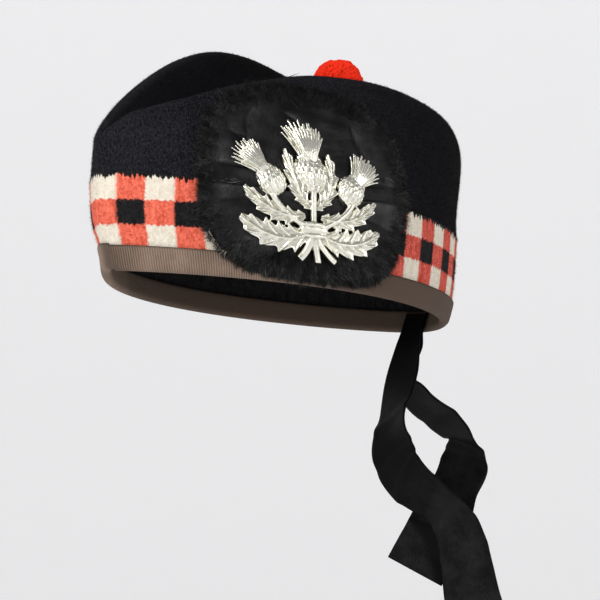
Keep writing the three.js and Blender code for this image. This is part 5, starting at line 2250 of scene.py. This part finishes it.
@dataclass
class Tail:
    """One black ribbon tail that hangs from inside the back of the rim."""

    name: str
    node: str
    layer: int
    rows: tuple[TailRow, ...]
    creases: tuple[CreaseRow, ...]
    covered: tuple[Pair, ...] = ()
    plane_deg: float = 46.4
    cloth: float = 0.55
    layer_cloth: float = 0.9
    start_width: float = 14.0
    start_cup: float = 1.3
    tuck: float = 2.0
    ribbon: float = 32.0
    steps: int = 18
    across: int = 17
    hem: float = 0.5
    hem_from: Pair = (0.93, 0.97)
    ripple: Swell = Swell(0.25, 26.0, 41)
    ripple_from: Pair = (4.0, 40.0)
    # Painted shade near the rim, and a painted shadow where the other tail lies over this one.
    shaded_rim_share: float = 0.12
    rim_shade_span: Pair = (0.4, 0.72)
    cover_shadow: float = 0.9
    cover_shadow_edge: Pair = (-0.5, -0.1)

    def plane(self) -> Arrays:
        """Directions across the picture and out of it."""
        c, s = math.cos(math.radians(self.plane_deg)), math.sin(math.radians(self.plane_deg))
        return np.array([c, s, 0.0]), np.array([s, -c, 0.0])

    def knots(self) -> tuple[Array, Table]:
        """Places the folds in millimetres of the row frame.

        Returns:
            Knots of the middle line, and the table of how it turns.
        """
        in_face = -FORM.band_inset - FORM.cloth - FORM.seam_gap - FORM.binding_cloth
        inset = in_face - FORM.seam_gap - self.layer_cloth / 2
        inset = inset - self.layer * (self.layer_cloth + FORM.seam_gap)
        heights = np.array([FORM.binding_top - self.tuck, FORM.binding_foot])
        top, rim = FORM.worn(FORM.wall_point(heights, np.pi, 1.0, inset)) / MM
        sideways, outwards = self.plane()
        spots = [rim + sideways * r.side + outwards * r.out - UP * r.drop for r in self.rows]
        start = TailRow(0, 0, 0, self.plane_deg, 0, self.start_width, self.start_cup)
        return np.array([top, rim, *spots]), Table((start, start, *self.rows))

    def curve(self, knots: Array) -> Array:
        """A smooth curve through knots.

        Args:
            knots: Places, n x 3.

        Returns:
            Points, with as many steps to each span.
        """
        ends = np.concatenate([[2 * knots[0] - knots[1]], knots, [2 * knots[-1] - knots[-2]]])
        u = (np.arange(self.steps) / self.steps)[:, None]
        spans = []
        for p0, p1, p2, p3 in zip(ends, ends[1:], ends[2:], ends[3:]):
            d0, d1, d2 = (np.linalg.norm(b - a) ** 0.5 for a, b in ((p0, p1), (p1, p2), (p2, p3)))
            m = ((p1 - p0) / d0 - (p2 - p0) / (d0 + d1) + (p2 - p1) / d1) * d1
            n = ((p2 - p1) / d1 - (p3 - p1) / (d1 + d2) + (p3 - p2) / d2) * d1
            spans.append(p1 + u * (m + u * (3 * (p2 - p1) - 2 * m - n + u * (2 * (p1 - p2) + m + n))))
        return np.concatenate([*spans, knots[-1:]])

    def creased(self, gone: Array, wide: Array) -> Array:
        """How far the creases lift the ribbon, by lengths along it and places across it."""
        lines = [row.from_length + (row.to_length - row.from_length) * (wide + 1) / 2 for row in self.creases]
        return sum(row.depth * np.exp(-((gone[:, None] - line) / row.spread) ** 2)
                   for row, line in zip(self.creases, lines))

    def tone_and_painted_light(self, gone: Array, wide: Array) -> Array:
        """The ribbon's painted light: painted shade near the rim, and a painted shadow where the other tail
        lies over it.

        Args:
            gone: Lengths along it.
            wide: Places across it, from -1 to 1.

        Returns:
            Shares, lengths x places.
        """
        # Painted shade near the rim, then a painted shadow under the other tail.
        tone_and_painted_light = self.shaded_rim_share + (1 - self.shaded_rim_share) * smooth(*self.rim_shade_span, gone / gone[-1])
        tone_and_painted_light = np.repeat(tone_and_painted_light[:, None], len(wide), axis=1)
        if self.covered:
            length, place = np.array(self.covered).T
            over = smooth(*self.cover_shadow_edge, wide - np.interp(gone, length, place)[:, None])
            tone_and_painted_light *= 1 - self.cover_shadow * over * (gone > length[0])[:, None]
        return tone_and_painted_light

    def build(self) -> None:
        """Makes the ribbon as a thin folded sheet."""
        knots, table = self.knots()
        line = self.curve(knots)
        at = np.arange(len(line)) / self.steps
        along = unit(np.gradient(line, axis=0))
        sideways, outwards = self.plane()
        turn, lift = (np.radians(table.read(at, name))[:, None] for name in ("turn", "lift"))
        across = np.cos(lift) * (np.cos(turn) * sideways + np.sin(turn) * outwards) + np.sin(lift) * UP
        across = unit(across - along * (across * along).sum(-1, keepdims=True))
        face = unit(np.cross(across, along))[:, None]
        gone = np.concatenate([[0], np.cumsum(np.linalg.norm(np.diff(line, axis=0), axis=1))])
        length = float(gone[-1])
        spread = np.linspace(-1, 1, self.across)
        w = spread[None, :, None]
        width, cup = (table.read(at, name)[:, None, None] for name in ("width", "cup"))
        sheet = line[:, None] + across[:, None] * w * width / 2 - face * w * w * cup
        ripple = replace(self.ripple, seed=self.ripple.seed + self.layer).over(sheet)
        ripple = ripple * smooth(*self.ripple_from, np.linalg.norm(line - line[0], axis=-1))[:, None]
        sheet = sheet + face * (ripple + self.creased(gone, spread))[..., None]
        half = face * self.cloth / 2 * (1 + self.hem * smooth(*self.hem_from, np.abs(w)))
        loop = np.concatenate([sheet + half, (sheet - half)[:, ::-1]], axis=1)
        wide = np.concatenate([np.linspace(0, 1, self.across), np.linspace(1, 0, self.across), [0]])
        # The tint carries the painted shade and shadow.
        tone_and_painted_light = self.tone_and_painted_light(gone, spread)
        tone_and_painted_light = np.concatenate([tone_and_painted_light, tone_and_painted_light[:, ::-1]], axis=1)[..., None]
        cloth = Draft()
        cloth.grid(loop * MM, places=np.stack(np.meshgrid(wide, gone / length), -1), tint=tone_and_painted_light)
        for end in (loop[0], loop[-1]):
            cloth.grid(np.stack([end[:self.across], end[self.across:][::-1]]) * MM, closed=False)
        piece = cloth.mesh_object(self.name, faces_out=True)
        dress(piece, Silk(self.name + "_silk").make(), "silk", self.node)


TAILS = (
    Tail("tail_left_ribbon", "tail_left", 1, (
        TailRow(-2, 2, 7, 46, 0, 16, 1.2), TailRow(-5, 5, 21, 50, -5, 22, 0.8),
        TailRow(-11, 8, 44, 70, -5, 31), TailRow(-11, 9, 63, 50, 10), TailRow(-5, 11, 76, 55, 30),
        TailRow(10, 12, 89, 60, 25), TailRow(21, 11, 100, 50, 15), TailRow(30, 9, 139, 30, 10),
        TailRow(34, 8, 160, 5, 10),
    ), (
        CreaseRow(64, 50, -0.8, 2.4), CreaseRow(80, 68, 0.9, 2.6), CreaseRow(95, 82, -0.8, 2.2),
        CreaseRow(112, 104, 0.8, 3.0), CreaseRow(124, 122, -0.7, 2.4), CreaseRow(150, 138, 0.6, 3.5),
    )),
    Tail("tail_right_ribbon", "tail_right", 0, (
        TailRow(-1, 0, 7, 46, 0, 16, 1.2), TailRow(-6, -2, 22, 60, 5, 22, 0.8),
        TailRow(2, -4, 35, 75, 20, 30), TailRow(24, -7, 55, 85, 25), TailRow(27, -9, 68, 45, 0),
        TailRow(21, -10, 84, 45, -15), TailRow(12, -9, 104, 20, -35), TailRow(0, -7, 126, 5, -30),
    ), (
        CreaseRow(46, 38, -0.8, 2.2), CreaseRow(61, 66, 0.6, 3.0), CreaseRow(80, 86, 1.2, 1.7),
        CreaseRow(84, 91, -0.9, 2.0), CreaseRow(138, 148, 0.6, 3.0),
    ), covered=((131, -0.9), (144, 0.4), (157, 1.05))),
)


@dataclass
class Studio:
    """A pale seamless sweep, soft lights and the camera."""

    azimuth_deg: float = 46.38
    elevation_deg: float = -3.17
    distance: float = 1.2
    focal_px: float = 2425.61
    origin_px: Pair = (265.06, 302.14)
    frame_px: float = 600.0
    sensor: float = 36.0
    clip: Pair = (0.05, 30.0)
    floor: float = -0.5
    flat_radius: float = 2.1
    flat_steps: int = 12
    cove: float = 1.3
    cove_steps: int = 24
    wall_top: float = 2.0
    spokes: int = 96
    paper: Colour = (0.70, 0.70, 0.71)
    paper_glow: float = 0.365
    sky: Colour = (0.99, 0.99, 1.0)
    sky_strength: float = 0.345
    lamp_aim: float = 0.05
    lamps: tuple[LampRow, ...] = (
        LampRow("key_light", -34, 18, 1.7, 0.9, 14.4),
        LampRow("fill_light", 62, 12, 1.8, 0.9, 3.5),
        LampRow("top_light", -20, 60, 1.8, 1.0, 4.0),
    )

    @staticmethod
    def direction(azimuth_deg: float, elevation_deg: float) -> Vector:
        """The way from the bonnet to a place seen at two angles."""
        a, e = math.radians(azimuth_deg), math.radians(elevation_deg)
        return Vector((math.sin(a) * math.cos(e), -math.cos(a) * math.cos(e), math.sin(e)))

    @staticmethod
    def hang(data: bpy.types.Light | bpy.types.Camera, place: Vector, aim: Vector) -> Piece:
        """Puts a light or camera in the scene.

        Args:
            data: The light or camera.
            place: Where it stands.
            aim: The way it looks.

        Returns:
            Its object.
        """
        made = bpy.data.objects.new(data.name, data)
        made.location = place
        made.rotation_euler = aim.to_track_quat("-Z", "Y").to_euler()
        bpy.context.collection.objects.link(made)
        return made

    def sweep(self) -> None:
        """The floor, curved up all round into a low wall."""
        bend = np.linspace(0, np.pi / 2, self.cove_steps + 1)[1:]
        flat, wall = np.linspace(0.0, self.flat_radius, self.flat_steps), self.flat_radius + self.cove
        radius = np.concatenate([flat, self.flat_radius + self.cove * np.sin(bend), [wall]])[:, None]
        height = np.concatenate([np.zeros_like(flat), self.cove * (1 - np.cos(bend)), [self.wall_top]])
        turn = np.arange(self.spokes) * 2 * np.pi / self.spokes
        level = (height + self.floor)[:, None] * np.ones_like(turn)
        paper = Draft()
        paper.grid(np.stack([radius * np.cos(turn), radius * np.sin(turn), level], -1))
        piece = paper.mesh_object("studio_sweep")
        piece.data.materials.append(Shader("pale_paper").finish({
            "Base Color": self.paper, "Roughness": 0.9, "Specular IOR Level": 0.1,
            "Emission Color": (1.0, 1.0, 1.0), "Emission Strength": self.paper_glow,
        }))

    def camera(self) -> None:
        """The camera at the photograph's angle and framing."""
        back = self.direction(self.azimuth_deg, self.elevation_deg)
        right = self.direction(self.azimuth_deg + 90, 0)
        across, down = ((px - self.frame_px / 2) / self.focal_px for px in self.origin_px)
        lens = bpy.data.cameras.new("camera")
        lens.sensor_width = self.sensor
        lens.lens = self.sensor * self.focal_px / self.frame_px
        lens.clip_start, lens.clip_end = self.clip
        aim = back.cross(right) * down - back - right * across
        bpy.context.scene.camera = self.hang(lens, back * self.distance, aim)

    def build(self) -> None:
        """Sets the scene round the bonnet."""
        self.camera()
        self.sweep()
        for row in self.lamps:
            back = self.direction(self.azimuth_deg + row.turn, row.rise)
            light = bpy.data.lights.new(row.name, "AREA")
            light.shape, light.size, light.energy = "SQUARE", row.size, row.power
            self.hang(light, back * row.distance + Vector((0, 0, self.lamp_aim)), -back)
        world = bpy.data.worlds.new("soft_sky")
        world.use_nodes = True
        background = world.node_tree.nodes["Background"]
        background.inputs["Color"].default_value = (*self.sky, 1.0)
        background.inputs["Strength"].default_value = self.sky_strength
        bpy.context.scene.world = world
        bpy.context.scene.view_settings.view_transform = "Standard"


def main() -> None:
    """Builds every piece in order."""
    logging.basicConfig(level=logging.INFO, format="%(message)s")
    Studio().build()
    for piece in (Crown(), DicedBand(), Binding(), Rosette(), Badge(), Toorie(), *TAILS):
        piece.build()
        LOG.info("%s built", type(piece).__name__)


if __name__ == "__main__":
    main()
